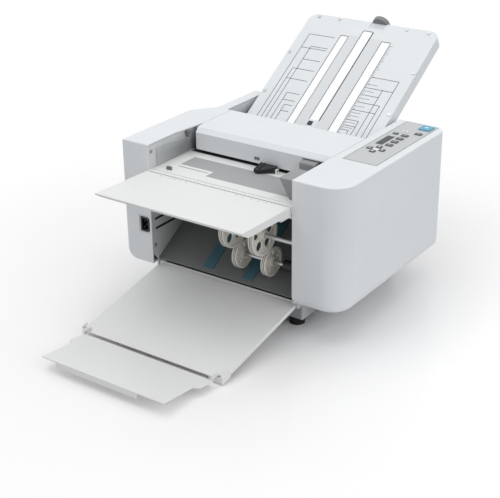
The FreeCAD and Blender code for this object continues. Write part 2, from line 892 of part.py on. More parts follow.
def make_power_inlet():
    """The mains inlet: flange, body with an open well, and three pins in the well."""
    flange = slab("inlet_flange_plate", "xz", inlet_outline("0"), "0", "inlet_flange")
    body = slab("inlet_body", "xz", inlet_outline("-inlet_step"), "0", "inlet_depth")
    well = slab("inlet_well", "xz", inlet_outline("-inlet_well_wall"), "0", "inlet_well_depth")
    housing = cut("inlet_housing", join("inlet_solid", [flange, body]), [well])
    start = "inlet_well_depth - inlet_pin_rise"
    pins = [rod("inlet_pin_%d" % row, "y", start, "inlet_well_depth", "inlet_x" + step,
                "inlet_z + %d * inlet_pin_apart" % row, "inlet_pin_radius")
            for row, step in ((-1, " - inlet_pin_step"), (0, " + inlet_pin_step"),
                              (1, " - inlet_pin_step"))]
    return node(group("power_inlet", [housing] + pins), "power_inlet")


def panel_openings():
    """The ledge for the control panel and the opening inside it."""
    seat = block("panel_seat", "panel_left", "panel_right", "panel_front", "panel_back",
                 "cover_top - (panel_wall - panel_rise)", "cover_top")
    hole = block("panel_hole", "panel_left + panel_ledge", "panel_right - panel_ledge",
                 "panel_front + panel_ledge", "panel_back - panel_ledge",
                 "cover_top - cover_wall", "cover_top")
    return [seat, hole]


PANEL_TOP = "(cover_top + panel_rise)"
PANEL_UNDER = "(cover_top + panel_rise - panel_wall)"


def key_table():
    """Label, place, half sizes and rise of every key."""
    keys = [("menu_key_%d" % (number + 1), "menu_x", "(menu_first_y + %d * menu_step)" % number,
             "menu_half_wide", "menu_half_long", "key_rise") for number in range(MENU_KEYS)]
    keys.append(("program_key", "program_x", "program_y", "small_half_wide", "small_half_long",
                 "key_rise"))
    keys.append(("counter_key", "counter_x", "counter_y", "small_half_wide", "small_half_long",
                 "key_rise"))
    keys.append(("reset_key", "reset_x", "reset_y", "menu_half_wide", "menu_half_long", "key_rise"))
    keys.append(("start_button", "start_x", "start_y", "start_half_wide", "start_half_long",
                 "start_rise"))
    for word, across, along in (("left", -1, 0), ("right", 1, 0), ("front", 0, -1), ("back", 0, 1)):
        keys.append(("arrow_key_" + word, "(arrow_x + %d * arrow_out)" % across,
                     "(arrow_y + %d * arrow_out)" % along, "arrow_half", "arrow_half", "key_rise"))
    return keys


MENU_KEYS = 4


def around(x, y, half_x, half_y, grow):
    """The four sides of a rectangle round a place, grown by a gap."""
    return ("%s - %s - %s" % (x, half_x, grow), "%s + %s + %s" % (x, half_x, grow),
            "%s - %s - %s" % (y, half_y, grow), "%s + %s + %s" % (y, half_y, grow))


def make_control_panel():
    """The panel plate with an opening for the window and one for each key."""
    plate = block("panel_plate", "panel_left", "panel_right", "panel_front", "panel_back",
                  PANEL_UNDER, PANEL_TOP)
    holes = [block("window_hole", *around("window_x", "window_y", "window_half_wide",
                                          "window_half_long", "0"), PANEL_UNDER, PANEL_TOP)]
    for label, x, y, half_x, half_y, rise in key_table():
        holes.append(block(label + "_hole", *around(x, y, half_x, half_y, "key_gap"),
                           PANEL_UNDER, PANEL_TOP))
    return node(cut("control_panel", plate, holes), "control_panel")


def make_display_window():
    """The clear window of the display, flush in the panel."""
    pane = block("window_pane", *around("window_x", "window_y", "window_half_wide",
                                           "window_half_long", "0"), PANEL_UNDER, PANEL_TOP)
    return node(pane, "display_window")


def make_key(label, x, y, half_x, half_y, rise):
    """A key: rounded cap through the panel, a flange that stops under it, and a stem."""
    left, right, front, back = around(x, y, half_x, half_y, "0")
    flange_top = "%s - key_travel_gap" % PANEL_UNDER
    flange_low = "%s - key_flange_rise" % flange_top
    cap = slab(label + "_cap", "xy", [(left, front), (right, front), (right, back), (left, back)],
               flange_low, "%s + %s" % (PANEL_TOP, rise))
    round_edges(cap, lambda edge: runs_along(edge, "z"), "key_round")
    top = "%s + %s" % (PANEL_TOP, rise)
    round_edges(cap, lambda edge: abs(edge.BoundBox.ZMin - value(top)) < NEAR, "key_round / 3")
    flange = block(label + "_flange", *around(x, y, half_x, half_y, "key_flange"),
                   flange_low, flange_top)
    stem = rod(label + "_stem", "z", "%s - key_stem" % flange_low, flange_top, x, y,
               "key_stem_radius")
    return node(join(label, [cap, flange, stem]), label)


def make_top_cover():
    """The hinged cover over the rollers: a bent sheet with end walls and hinge pins."""
    front, back, top = "top_front_y", "top_back_y", "cover_top"
    bend = [(front, "top_front_low"), (front + " + top_wall", "top_front_low"),
            (front + " + top_wall", top + " - top_chamfer - top_wall / 2"),
            (front + " + top_chamfer + top_wall / 2", top + " - top_wall"),
            (back + " - top_wall", top + " - top_wall"), (back + " - top_wall", "top_side_low"),
            (back, "top_side_low"), (back, top), (front + " + top_chamfer", top),
            (front, top + " - top_chamfer")]
    end = [(front, "top_side_low"), (back, "top_side_low"), (back, top),
           (front + " + top_chamfer", top), (front, top + " - top_chamfer")]
    skin = slab("top_skin", "yz", bend, "top_left", "top_half")
    ends = [slab("top_end_left", "yz", end, "top_left", "top_left + top_wall"),
            slab("top_end_right", "yz", end, "top_half - top_wall", "top_half")]
    notch = block("top_notch", "post_right", "top_half", front, "post_back_y",
                  "top_front_low", "notch_top")
    post = block("top_post", "post_left", "post_right", front, "post_back_y",
                 "top_front_low", top + " - top_chamfer - top_wall / 2")
    pins = [rod("top_pin_left", "x", "-gap_half - frame_wall", "top_left + top_wall",
                "top_hinge_y", "top_hinge_z", "top_pin_radius"),
            rod("top_pin_right", "x", "top_half - top_wall", "gap_half + frame_wall",
                "top_hinge_y", "top_hinge_z", "top_pin_radius")]
    corner, corner_wall = top_corner(end)
    open_skin = cut("top_open", join("top_shell", [skin] + ends), [notch, corner])
    return node(join("top_cover", [open_skin, post, corner_wall] + pins), "top_cover")


def top_corner(end):
    """The cut corner at the top cover's front left: what is cut away, and the slanting wall."""
    left, front = "top_left", "top_front_y"
    near, far = left + " + top_corner_wide", front + " + top_corner_long"
    corner = slab("top_corner", "xy", [(left, front), (near, front), (left, far)],
                  "top_front_low", "cover_top")
    strip = slab("top_corner_strip", "xy",
                 [(left, far), (near, front), (near + " + top_wall", front),
                  (left + " + top_wall", far)], "top_side_low", "cover_top")
    limit = slab("top_corner_limit", "yz", end, left, near + " + top_wall")
    return corner, common("top_corner_wall", [strip, limit])


def make_cover_catch():
    """The small catch on the left wall by the top cover's cut corner: a head on a round neck."""
    back = "catch_front_y + catch_long"
    head = block("catch_head", "-gap_half", "catch_right", "catch_front_y", back,
                 "catch_neck", "catch_high")
    neck = rod("catch_neck_rod", "z", "catch_low", "catch_neck", "-gap_half + catch_wide / 2",
               "catch_front_y + catch_long / 2", "catch_neck_radius")
    return node(join("cover_catch", [head, neck]), "cover_catch")


def make_release_lever():
    """The feed release lever: a rounded handle on a pin in the right side frame."""
    low, high = "lever_z - lever_down", "lever_z + lever_up"
    front, back = "lever_y - lever_front", "lever_y + lever_back"
    handle = slab("lever_handle", "yz", [(front, low), (back, low), (back, high), (front, high)],
                  "lever_left", "lever_right")
    round_edges(handle, lambda edge: runs_along(edge, "x") and edge.BoundBox.Center.y
                < value("lever_y"), "lever_round")
    pin = rod("lever_pin", "x", "lever_right - lever_back", "gap_half + frame_wall",
              "lever_y", "lever_z", "lever_pin_radius")
    return node(join("release_lever", [handle, pin]), "release_lever")


def make_right_side_block():
    """The slanted block that narrows the opening at its right side."""
    corners = [("block_foot_x", "block_low"), ("gap_half", "block_low"),
               ("gap_half", "block_high"), ("block_top_x", "block_high")]
    body = slab("right_side_block", "xz", corners, "block_front_y", "block_back_y")
    return node(body, "right_side_block")


def make_left_wall_plate():
    """The dark wear plate on the inner face of the left side frame."""
    front, back = "wall_plate_front_y", "wall_plate_back_y"
    corners = [(front, "wall_plate_low"), (back, "wall_plate_low"),
               (back, "wall_plate_high - 7 * wall_plate_wall"),
               (front + " + 16 * wall_plate_wall", "wall_plate_high"), (front, "wall_plate_high")]
    plate = slab("left_wall_plate", "yz", corners, "-gap_half", "-gap_half + wall_plate_wall")
    return node(plate, "left_wall_plate")


def make_front_fold_plate():
    """The flat box in front of the machine: slot inside, thin lip in front, hooks below."""
    deep = "-plate_deep"
    roof, floor = "-plate_roof", "-plate_roof - plate_slot"
    root = "-plate_long + lip_long"
    box = block("plate_box", "-plate_half", "plate_half", root, "0", deep, "0")
    lip = block("plate_lip", "-plate_half", "plate_half", "-plate_long", root, "-lip_wall", "0")
    corners = [("-plate_long", "0"), ("-plate_long", "-lip_wall"), (root, deep), (root, "0")]
    cheeks = [slab("plate_cheek_left", "yz", corners, "-plate_half", "-plate_half + lip_side"),
              slab("plate_cheek_right", "yz", corners, "plate_half - lip_side", "plate_half")]
    slot = block("plate_slot_space", "-plate_slot_half", "plate_slot_half",
                 root + " + plate_front_wall", "0", floor, roof)
    hooks = [block("plate_hook_left", "-hook_outer_x", "-hook_inner_x", "-hook_front",
                   "hook_back", deep + " - hook_deep", deep),
             block("plate_hook_right", "hook_inner_x", "hook_outer_x", "-hook_front",
                   "hook_back", deep + " - hook_deep", deep)]
    whole = join("front_fold_plate", [cut("plate_hollow", box, [slot]), lip] + cheeks + hooks)
    return node(whole, "front_fold_plate", "plate_back_y", "plate_back_z", "plate_tilt")


def make_front_fold_stop():
    """The stop bar inside the front fold plate that sets where the sheet buckles."""
    bar = block("stop_bar", "-stop_half", "stop_half", "-stop_place - stop_long",
                "-stop_place", "-plate_roof - plate_slot + stop_gap", "-plate_roof - stop_gap")
    return node(bar, "front_fold_stop", "plate_back_y", "plate_back_z", "plate_tilt")


def make_inner_guide():
    """The guide between the front fold plate and the rollers, with ears for the latch."""
    top = "guide_top"
    roof = "guide_top - guide_roof"
    floor = "guide_top - guide_roof - guide_slot"
    under = floor + " - guide_floor"
    front = "guide_front_y"
    pieces = [block("guide_roof_sheet", "-gap_half", "gap_half", front, "guide_roof_back_y",
                    roof, top),
              block("guide_floor_sheet", "-gap_half", "gap_half", front, "guide_floor_back_y",
                    under, floor),
              block("guide_side_left", "-gap_half", "-gap_half + guide_side", front,
                    "guide_floor_back_y", floor, roof),
              block("guide_side_right", "gap_half - guide_side", "gap_half", front,
                    "guide_floor_back_y", floor, roof),
              block("guide_step", "-gap_half", "gap_half", "guide_step_y",
                    "guide_step_y + guide_step_long", top, top + " + guide_step_rise")]
    for number, (left, right) in enumerate((
            ("latch_left - pin_side - latch_ear", "latch_left - pin_side"),
            ("latch_right + pin_side", "latch_right + pin_side + latch_ear"))):
        pieces.append(block("guide_ear_%d" % number, left, right, "latch_y - latch_ear",
                            "latch_y + latch_ear", top, "latch_z + latch_ear"))
    bore = rod("guide_bore", "x", "latch_left - pin_side - latch_ear",
               "latch_right + pin_side + latch_ear", "latch_y", "latch_z",
               "latch_pin_radius + pin_gap")
    return node(cut("inner_guide", join("guide_whole", pieces), [bore]), "inner_guide")


def make_fold_plate_latch():
    """The black wedge-shaped latch in front of the top cover, on a pin between two ears."""
    tip, back = "latch_y - latch_reach", "latch_y + latch_back"
    low, tip_high = "latch_low", "latch_low + latch_tip_high"
    inner = "latch_left + latch_tip"
    side = slab("latch_side", "yz", [(tip, low), (back, low), (back, "latch_high"),
                                     (tip, tip_high)], "latch_left", "latch_right")
    plan = slab("latch_plan", "xy", [("latch_left", tip), (inner, tip),
                                     ("latch_right", "latch_y"), ("latch_right", back),
                                     ("latch_left", back)], low, "latch_high")
    ribs = []
    for number, left in enumerate(("latch_left", inner + " - latch_rib")):
        ribs.append(slab("latch_rib_%d" % number, "yz",
                         [(tip, tip_high), (back, "latch_high"),
                          (back, "latch_high + latch_rib"), (tip, tip_high + " + latch_rib")],
                         left, left + " + latch_rib"))
    body = join("latch_body", [common("latch_wedge", [side, plan])] + ribs)
    pin = rod("latch_pin", "x", "latch_left - pin_side - latch_ear",
              "latch_right + pin_side + latch_ear", "latch_y", "latch_z", "latch_pin_radius")
    return node(join("fold_plate_latch", [body, pin]), "fold_plate_latch")


ROLLER_PITCH = "(2 * roller_radius + nip_gap)"
FOLD_AXES = [("(roller_y + %s)" % ROLLER_PITCH, "(roller_z + 2 * %s)" % ROLLER_PITCH),
             ("(roller_y + %s)" % ROLLER_PITCH, "(roller_z + %s)" % ROLLER_PITCH),
             ("roller_y", "(roller_z + %s)" % ROLLER_PITCH),
             ("roller_y", "roller_z")]
MODULE = "(2 * roller_radius / gear_teeth)"
PINION_Z = "(roller_z - %s * (gear_teeth + pinion_teeth) / 2 - motor_play)" % MODULE


def shaft_axes(side):
    """Every shaft that runs in a bearing in one side frame; the stacker's end short of the left."""
    axes = FOLD_AXES + [("feed_y", "feed_z")]
    if side > 0:
        axes = axes + [("lower_y", "lower_z"), ("upper_y", "upper_z")]
    return axes


def make_fold_roller(number):
    """A fold roller with its shaft; the left end carries the gear."""
    label = "fold_roller_%d" % (number + 1)
    y, z = FOLD_AXES[number]
    barrel = rod(label + "_barrel", "x", "-roller_half", "roller_half", y, z, "roller_radius")
    shaft = rod(label + "_shaft", "x", "-shaft_left", "shaft_right", y, z, "shaft_radius")
    return node(join(label, [barrel, shaft]), label)


def make_feed_roller():
    """The feed roller: a wide rubber sleeve in the middle of its shaft."""
    sleeve = rod("feed_sleeve", "x", "-feed_half", "feed_half", "feed_y", "feed_z", "feed_radius")
    shaft = rod("feed_shaft", "x", "-shaft_right", "shaft_right", "feed_y", "feed_z",
                "shaft_radius")
    return node(join("feed_roller", [sleeve, shaft]), "feed_roller")


def make_bearings():
    """Flanged bearing bushes, one in each side frame for each shaft."""
    bushes = []
    for side in (-1, 1):
        for number, (y, z) in enumerate(shaft_axes(side)):
            name = "bush_%d_%s" % (number, "left" if side < 0 else "right")
            low, high = beside(side, "gap_half", "gap_half + frame_wall")
            near, far = beside(side, "gap_half - seat_flange", "gap_half")
            all_low, all_high = beside(side, "gap_half - seat_flange", "gap_half + frame_wall")
            body = rod(name + "_body", "x", low, high, y, z, "seat_radius")
            flange = rod(name + "_flange", "x", near, far, y, z, "seat_flange_radius")
            bore = rod(name + "_bore", "x", all_low, all_high, y, z, "shaft_radius + pin_gap")
            bushes.append(cut(name, join(name + "_whole", [body, flange]), [bore]))
    return node(group("bearings", bushes), "bearings")


def involute_flank(base, tip, steps):
    """Radius and turn of points along an involute from its base circle to the tip."""
    last = math.sqrt((tip / base) ** 2 - 1)
    rolls = [last * step / steps for step in range(steps + 1)]
    return [(base * math.hypot(1, roll), roll - math.atan(roll)) for roll in rolls]


def tooth_points(teeth):
    """Corners of a gear's outline, round one turn, about the origin."""
    module = value(MODULE)
    pressure = math.radians(value("gear_pressure_angle"))
    pitch = module * teeth / 2
    base = pitch * math.cos(pressure)
    root = pitch - value("gear_dedendum") * module
    tip = pitch + value("gear_addendum") * module
    half = (math.pi * module - value("gear_slack")) / (4 * pitch) + math.tan(pressure) - pressure
    flank = involute_flank(base, tip, FLANK_STEPS)
    side = [(root, half)] + [(radius, half - turn_) for radius, turn_ in flank]
    corners = []
    for tooth in range(teeth):
        middle = 2 * math.pi * tooth / teeth
        corners = corners + [(radius, middle - angle) for radius, angle in side]
        corners = corners + [(radius, middle + angle) for radius, angle in reversed(side)]
    return corners


FLANK_STEPS = 4


def gear_disc(teeth, phase):
    """A spur gear about the x axis, turned by the phase."""
    points = [FreeCAD.Vector(0, radius * math.sin(angle + phase), radius * math.cos(angle + phase))
              for radius, angle in tooth_points(teeth)]
    face = Part.Face(Part.makePolygon(points + points[:1]))
    return face.extrude(FreeCAD.Vector(value("gear_wide"), 0, 0))


def meshed_phase(phase, teeth, other_teeth, direction):
    """The phase of a gear whose teeth fall between those of its neighbour."""
    pitch = 2 * math.pi / teeth
    share = ((direction - phase) / pitch) % 1
    other_share = (0.5 - share) % 1
    return direction + math.pi - other_share * 2 * math.pi / other_teeth


def gear_phases():
    """The phases of the four fold gears and of the pinion, from the top gear down."""
    teeth = round(value("gear_teeth"))
    phases = [0.0]
    for direction in (math.pi, -math.pi / 2, math.pi):
        phases.append(meshed_phase(phases[-1], teeth, teeth, direction))
    phases.append(meshed_phase(phases[-1], teeth, round(value("pinion_teeth")), math.pi))
    return phases


def gear_node(label, shape, y, z):
    """A gear in its place on a shaft outside the left side frame."""
    gear = doc.addObject("Part::Feature", label)
    gear.Shape = shape
    gear.Label = label
    tie(gear, "Placement.Base.x", "path_x - gear_near - gear_wide")
    tie(gear, "Placement.Base.y", "front_y + %s" % y)
    tie(gear, "Placement.Base.z", z)
    nodes.append(gear)
    return gear


def make_fold_gear(number):
    """The gear of one fold roller, with the bore for its shaft."""
    y, z = FOLD_AXES[number]
    disc = gear_disc(round(value("gear_teeth")), gear_phases()[number])
    bore = Part.makeCylinder(value("shaft_radius"), value("gear_wide"), FreeCAD.Vector(), X_AXIS)
    return gear_node("fold_gear_%d" % (number + 1), disc.cut(bore), y, z)


def make_motor_pinion():
    """The pinion in one piece with the motor's shaft; it drives the lowest fold gear."""
    disc = gear_disc(round(value("pinion_teeth")), gear_phases()[-1])
    reach = value("mount_near + mount_wall + motor_bore_deep - gear_near - gear_wide")
    shaft = Part.makeCylinder(value("motor_shaft_radius"), reach, FreeCAD.Vector(-reach, 0, 0),
                              X_AXIS)
    return gear_node("motor_pinion", disc.fuse(shaft), "roller_y", PINION_Z)


def mount_spots():
    """The four places of the standoffs of the motor's mount."""
    return [("(roller_y %s mount_half_y)" % side, "(%s %s mount_half_z)" % (PINION_Z, row))
            for side in ("-", "+") for row in ("-", "+")]


def make_motor_mount():
    """The motor's mounting plate on four standoffs outside the left side frame."""
    far, near = "-mount_near - mount_wall", "-mount_near"
    plate = block("mount_plate", far, near, "roller_y - mount_half_y - mount_margin",
                  "roller_y + mount_half_y + mount_margin",
                  "%s - mount_half_z - mount_margin" % PINION_Z,
                  "%s + mount_half_z + mount_margin" % PINION_Z)
    stands = [rod("mount_stand_%d" % number, "x", near, "-gap_half - frame_wall", y, z,
                  "stand_radius") for number, (y, z) in enumerate(mount_spots())]
    hole = rod("mount_hole", "x", far, near, "roller_y", PINION_Z, "mount_hole_radius")
    bores = [rod("mount_bore_%d" % number, "x", "-gap_half - screw_length",
                 "-gap_half - frame_wall", y, z, "screw_radius")
             for number, (y, z) in enumerate(mount_spots())]
    whole = join("mount_whole", [plate] + stands)
    return node(cut("motor_mount", whole, [hole] + bores), "motor_mount")


def make_main_motor():
    """The main motor on its mount, with the bore that its shaft turns in."""
    back = "-mount_near - mount_wall - motor_long"
    front = "-mount_near - mount_wall"
    can = rod("motor_can", "x", back, front, "roller_y", PINION_Z, "motor_radius")
    bore = rod("motor_bore", "x", front + " - motor_bore_deep - pin_side", front,
               "roller_y", PINION_Z, "motor_shaft_radius + pin_gap")
    return node(cut("main_motor", can, [bore]), "main_motor")


def make_stacker_shaft(label, y, z):
    """A plain shaft that reaches from the right side frame to the inner wheel."""
    return node(rod(label + "_bar", "x", "wheel_inner_x - shaft_overhang", "shaft_right", y, z,
                    "shaft_radius"), label)


def wheel_profile(radius):
    """Half section of a stacker wheel: hub, thin web and rim."""
    half, web = "wheel_wide / 2", "wheel_web / 2"
    rim, hub, bore = radius + " - wheel_rim", "wheel_hub_radius", "shaft_radius + wheel_gap"
    return [("-" + half, bore), (half, bore), (half, hub), (web, hub), (web, rim), (half, rim),
            (half, radius), ("-" + half, radius), ("-" + half, rim), ("-" + web, rim),
            ("-" + web, hub), ("-" + half, hub)]


def make_wheel(label, x, y, z, radius):
    """A stacker wheel: a turned section with round windows through its web."""
    body = doc.addObject("PartDesign::Body", label)
    sketch = sketch_on(body, "xz")
    draw_outline(sketch, wheel_profile(radius))
    turned = body.newObject("PartDesign::Revolution", label + "_turned")
    turned.Profile = sketch
    turned.ReferenceAxis = (sketch, ["H_Axis"])
    turned.Angle = FULL_TURN
    doc.recompute()
    window_sketch = sketch_on(body, "yz", "-wheel_wide / 2")
    middle = "(wheel_hub_radius + %s - wheel_rim) / 2" % radius
    size = "(%s - wheel_rim - wheel_hub_radius) / 2 - wheel_web" % radius
    centre = FreeCAD.Vector(0, value(middle), 0)
    window_sketch.addGeometry(Part.Circle(centre, FreeCAD.Vector(0, 0, 1), value(size)), False)
    window_sketch.addConstraint(Sketcher.Constraint("PointOnObject", 0, 3, -2))
    place_rule = window_sketch.addConstraint(
        Sketcher.Constraint("DistanceY", -1, 1, 0, 3, value(middle)))
    size_rule = window_sketch.addConstraint(Sketcher.Constraint("Radius", 0, value(size)))
    tie(window_sketch, "Constraints[%d]" % place_rule, middle)
    tie(window_sketch, "Constraints[%d]" % size_rule, size)
    window = body.newObject("PartDesign::Pocket", label + "_window")
    window.Profile = window_sketch
    window.Reversed = True
    tie(window, "Length", "wheel_wide")
    doc.recompute()
    ring = body.newObject("PartDesign::PolarPattern", label + "_windows")
    ring.Originals = [window]
    ring.Axis = (sketch, ["H_Axis"])
    ring.Angle = FULL_TURN
    tie(ring, "Occurrences", "wheel_window_count")
    body.Tip = ring
    body.Label = label
    tie(body, "Placement.Base.x", "path_x + %s" % x)
    tie(body, "Placement.Base.y", "front_y + %s" % y)
    tie(body, "Placement.Base.z", z)
    nodes.append(body)
    doc.recompute()
    return body


FULL_TURN = 360


def make_hub_motor():
    """The small gearmotor round the lower stacker shaft, with its foot on the frame."""
    can = rod("hub_can", "x", "hub_motor_left", "hub_motor_right", "lower_y", "lower_z",
              "hub_motor_radius")
    foot = block("hub_foot", "hub_motor_right", "gap_half - seat_flange",
                 "lower_y - hub_bracket_half", "lower_y + hub_bracket_half",
                 "lower_z - hub_bracket_half", "lower_z + hub_bracket_half")
    bore = rod("hub_bore", "x", "hub_motor_left", "gap_half", "lower_y", "lower_z",
               "shaft_radius + pin_gap")
    return node(cut("stacker_motor", join("hub_whole", [can, foot]), [bore]), "stacker_motor")


def table_node(thing, label):
    """A finished piece of the feed table, laid on the slope."""
    return node(thing, label, "table_y", "table_z", "table_tilt")


def make_feed_table():
    """The inclined table: a ribbed moulding with three grooves, pins and a knob slot."""
    left, right = "-table_half", "table_half"
    outline = [(left, "table_low"), (right, "table_low"), (right, "table_high"),
               (left, "table_high")]
    body = slab("table_block", "xy", outline, "-table_deep", "0")
    round_edges(body, lambda edge: runs_along(edge, "z") and passes(edge, y="table_high"),
                "table_round")
    hollow = slab("table_hollow", "xy", [
        (left + " + table_wall", "table_low + table_wall"),
        (right + " - table_wall", "table_low + table_wall"),
        (right + " - table_wall", "table_high - table_wall"),
        (left + " + table_wall", "table_high - table_wall")], "-table_deep", "-table_skin")
    round_edges(hollow, lambda edge: runs_along(edge, "z")
                and passes(edge, y="table_high - table_wall"), "table_round - table_wall")
    grooves = [block("groove_%d" % number, start, end, low, high, "-groove_deep", "0")
               for number, (start, end, low, high) in enumerate((
                   ("groove_left_start", "groove_left_end", "groove_side_low", "groove_side_high"),
                   ("groove_mid_start", "groove_mid_end", "groove_mid_low", "groove_mid_high"),
                   ("groove_right_start", "groove_right_end", "groove_side_low",
                    "groove_side_high")))]
    sensor = block("table_sensor_hole", "sensor_x - sensor_half", "sensor_x + sensor_half",
                   "sensor_slope - sensor_half", "sensor_slope + sensor_half",
                   "-table_skin", "0")
    recess = block("table_recess", "recess_left", "recess_right", "recess_low", "table_high",
                   "-recess_deep", "0")
    axle = rod("table_axle_bore", "y", "table_high - knob_axle_long - knob_gap", "table_high",
               "knob_x", "-knob_depth", "knob_axle_radius + pin_gap")
    pins = [rod("table_pin_left", "x", "-gap_half - frame_wall", "-table_half + table_wall",
                "pivot_slope", "-pivot_depth", "pivot_radius"),
            rod("table_pin_right", "x", "table_half - table_wall", "gap_half + frame_wall",
                "pivot_slope", "-pivot_depth", "pivot_radius")]
    hollowed = cut("table_shell", body, [hollow] + grooves + [sensor, recess, axle] + table_bores())
    return table_node(join("feed_table", [hollowed] + pins), "feed_table")


def table_bores():
    """The bores for the screws in the table's surface."""
    return [rod("table_bore_%d" % number, "z", "-screw_length", "0", x, slope, "screw_radius")
            for number, (x, slope) in enumerate(TABLE_SCREWS)]


TABLE_SCREWS = [("-screw_end_outer", "screw_end_slope"), ("-screw_end_inner", "screw_end_slope"),
                ("screw_end_inner", "screw_end_slope"), ("screw_end_outer", "screw_end_slope"),
                ("-screw_side_x", "screw_side_high"), ("screw_side_x", "screw_side_high"),
                ("-screw_side_x", "screw_side_low"), ("screw_side_x", "screw_side_low")]


def make_paper_sensor():
    """The black paper sensor that looks up through the table's surface."""
    body = block("sensor_body", "sensor_x - sensor_half", "sensor_x + sensor_half",
                 "sensor_slope - sensor_half", "sensor_slope + sensor_half",
                 "-sensor_deep", "sensor_rise")
    return table_node(body, "paper_sensor")


def make_skew_knob():
    """The round skew adjuster behind the table's upper edge, with its axle."""
    disc = rod("knob_disc", "y", "table_high + knob_gap", "table_high + knob_gap + knob_wide",
               "knob_x", "-knob_depth", "knob_radius")
    axle = rod("knob_axle", "y", "table_high - knob_axle_long", "table_high + knob_gap", "knob_x",
               "-knob_depth", "knob_axle_radius")
    return table_node(join("skew_knob", [disc, axle]), "skew_knob")


def make_rear_fold_plate():
    """The second fold plate: a flat box under the feed table, open at its upper end."""
    deep, wall = "-rear_plate_deep", "rear_plate_wall"
    box = block("rear_box", "-gap_half", "gap_half", "0", "rear_plate_long", deep, "0")
    slot = block("rear_slot", "-rear_plate_slot_half", "rear_plate_slot_half", "0",
                 "rear_plate_long - rear_plate_end", deep + " + " + wall, "-" + wall)
    return node(cut("rear_fold_plate", box, [slot]), "rear_fold_plate", "rear_plate_y",
                "rear_plate_z", "rear_plate_tilt")


CHUTE_SLOPE = "((chute_back_z - chute_front_z) / (chute_back_y - chute_front_y))"


def chute_z(y, lift):
    """Height above the chute's underside at a place along it."""
    return "chute_front_z + %s * (%s - chute_front_y) + %s" % (CHUTE_SLOPE, y, lift)


def sloped(name, front, back, low, high, left, right):
    """A sheet that follows the chute's slope between two lifts."""
    corners = [(front, chute_z(front, low)), (back, chute_z(back, low)),
               (back, chute_z(back, high)), (front, chute_z(front, high))]
    return slab(name, "yz", corners, left, right)


def make_chute():
    """The sloping sheet that leads folded sheets from the last rollers to the tray."""
    chute = sloped("delivery_chute", "chute_front_y", "chute_back_y", "0", "chute_wall",
                   "-gap_half", "gap_half")
    return node(chute, "delivery_chute")


def make_guide_strips():
    """Two flat strips that lie on the chute on each side of its middle."""
    strips = []
    for number, side in enumerate((-1, 1)):
        left, right = beside(side, "strip_x - strip_half", "strip_x + strip_half")
        strips.append(sloped("strip_%d" % number, "strip_front_y", "strip_back_y", "chute_wall",
                             "chute_wall + strip_wall", left, right))
    return node(group("guide_strips", strips), "guide_strips")


def make_tray():
    """The delivery tray: a sheet with a rolled rear edge, flanges, hinge pins and front lugs."""
    half, far = "tray_half", "-tray_long"
    deck = block("tray_deck", "-" + half, half, far, "0", "-tray_wall", "0")
    roll = rod("tray_roll", "x", "-tray_half + tray_boss", "tray_half - tray_boss", "0",
               "-tray_wall / 2", "tray_roll_radius")
    pieces = [deck, roll]
    bores = []
    for side in (-1, 1):
        word = "left" if side < 0 else "right"
        inner, outer = beside(side, "tray_half - tray_wall", "tray_half")
        pieces.append(block("tray_flange_" + word, inner, outer, far, "0", "-tray_flange", "0"))
        reach = "lug_short" if side < 0 else "lug_long"
        pieces.append(block("tray_lug_" + word, inner, outer, far, far + " + " + reach,
                            "-return_deep", "lug_rise"))
        pin_low, pin_high = beside(side, "tray_half - tray_boss", "gap_half + frame_wall")
        pieces.append(rod("tray_pin_" + word, "x", pin_low, pin_high, "0", "-tray_wall / 2",
                          "tray_pin_radius"))
        boss_low, boss_high = beside(side, "tray_half - tray_boss", "tray_half")
        pieces.append(rod("tray_boss_" + word, "x", boss_low, boss_high, "0", "-tray_wall / 2",
                          "tray_boss_radius"))
        bores.append(rod("tray_bore_" + word, "x", inner, outer, far + " + extension_back",
                         "extension_up", "extension_pin_radius + extension_pin_gap"))
    pieces.append(block("tray_return", "tray_half - return_wide", half, far,
                        far + " + tray_wall", "-return_deep", "0"))
    tray = cut("delivery_tray", join("tray_whole", pieces), bores)
    return node(tray, "delivery_tray", "tray_y", "tray_z + tray_wall / 2", "tray_tilt")


EXTENSION_Y = ("(tray_y + (extension_back - tray_long) * cos(tray_tilt)"
               " - extension_up * sin(tray_tilt))")
EXTENSION_Z = ("(tray_z + tray_wall / 2 + (extension_back - tray_long) * sin(tray_tilt)"
               " + extension_up * cos(tray_tilt))")


def make_tray_extension():
    """The folding end of the tray: a narrower sheet with a lip and two arms with pins."""
    root, end = "-extension_root", "-extension_long"
    rear = "-extension_back - extension_gap"
    half, wide = "extension_half", "extension_root_half"
    top = "-extension_drop + extension_wall"
    outline = [("-" + half, end), (half, end), (half, root), (wide, root + " + extension_lip"),
               (wide, rear), ("-" + wide, rear),
               ("-" + wide, root + " + extension_lip"), ("-" + half, root)]
    deck = slab("extension_deck", "xy", outline, "-extension_drop", top)
    pieces = [deck, block("extension_lip_sheet", "extension_lip_start", "extension_lip_end", end,
                          end + " + extension_wall", "-extension_drop - extension_lip_deep", top)]
    for side in (-1, 1):
        word = "left" if side < 0 else "right"
        low, high = beside(side, "extension_root_half - extension_lug", "extension_root_half")
        pieces.append(block("extension_arm_" + word, low, high, rear + " - extension_lug", "0",
                            "-extension_pin_radius", "extension_pin_radius"))
        pieces.append(block("extension_leg_" + word, low, high, rear + " - extension_lug", rear,
                            "-extension_drop", "extension_pin_radius"))
        low, high = beside(side, "extension_root_half - extension_lug", "tray_half")
        pieces.append(rod("extension_pin_" + word, "x", low, high, "0", "0",
                          "extension_pin_radius"))
    whole = join("tray_extension", pieces)
    return node(whole, "tray_extension", EXTENSION_Y, EXTENSION_Z, "extension_tilt")


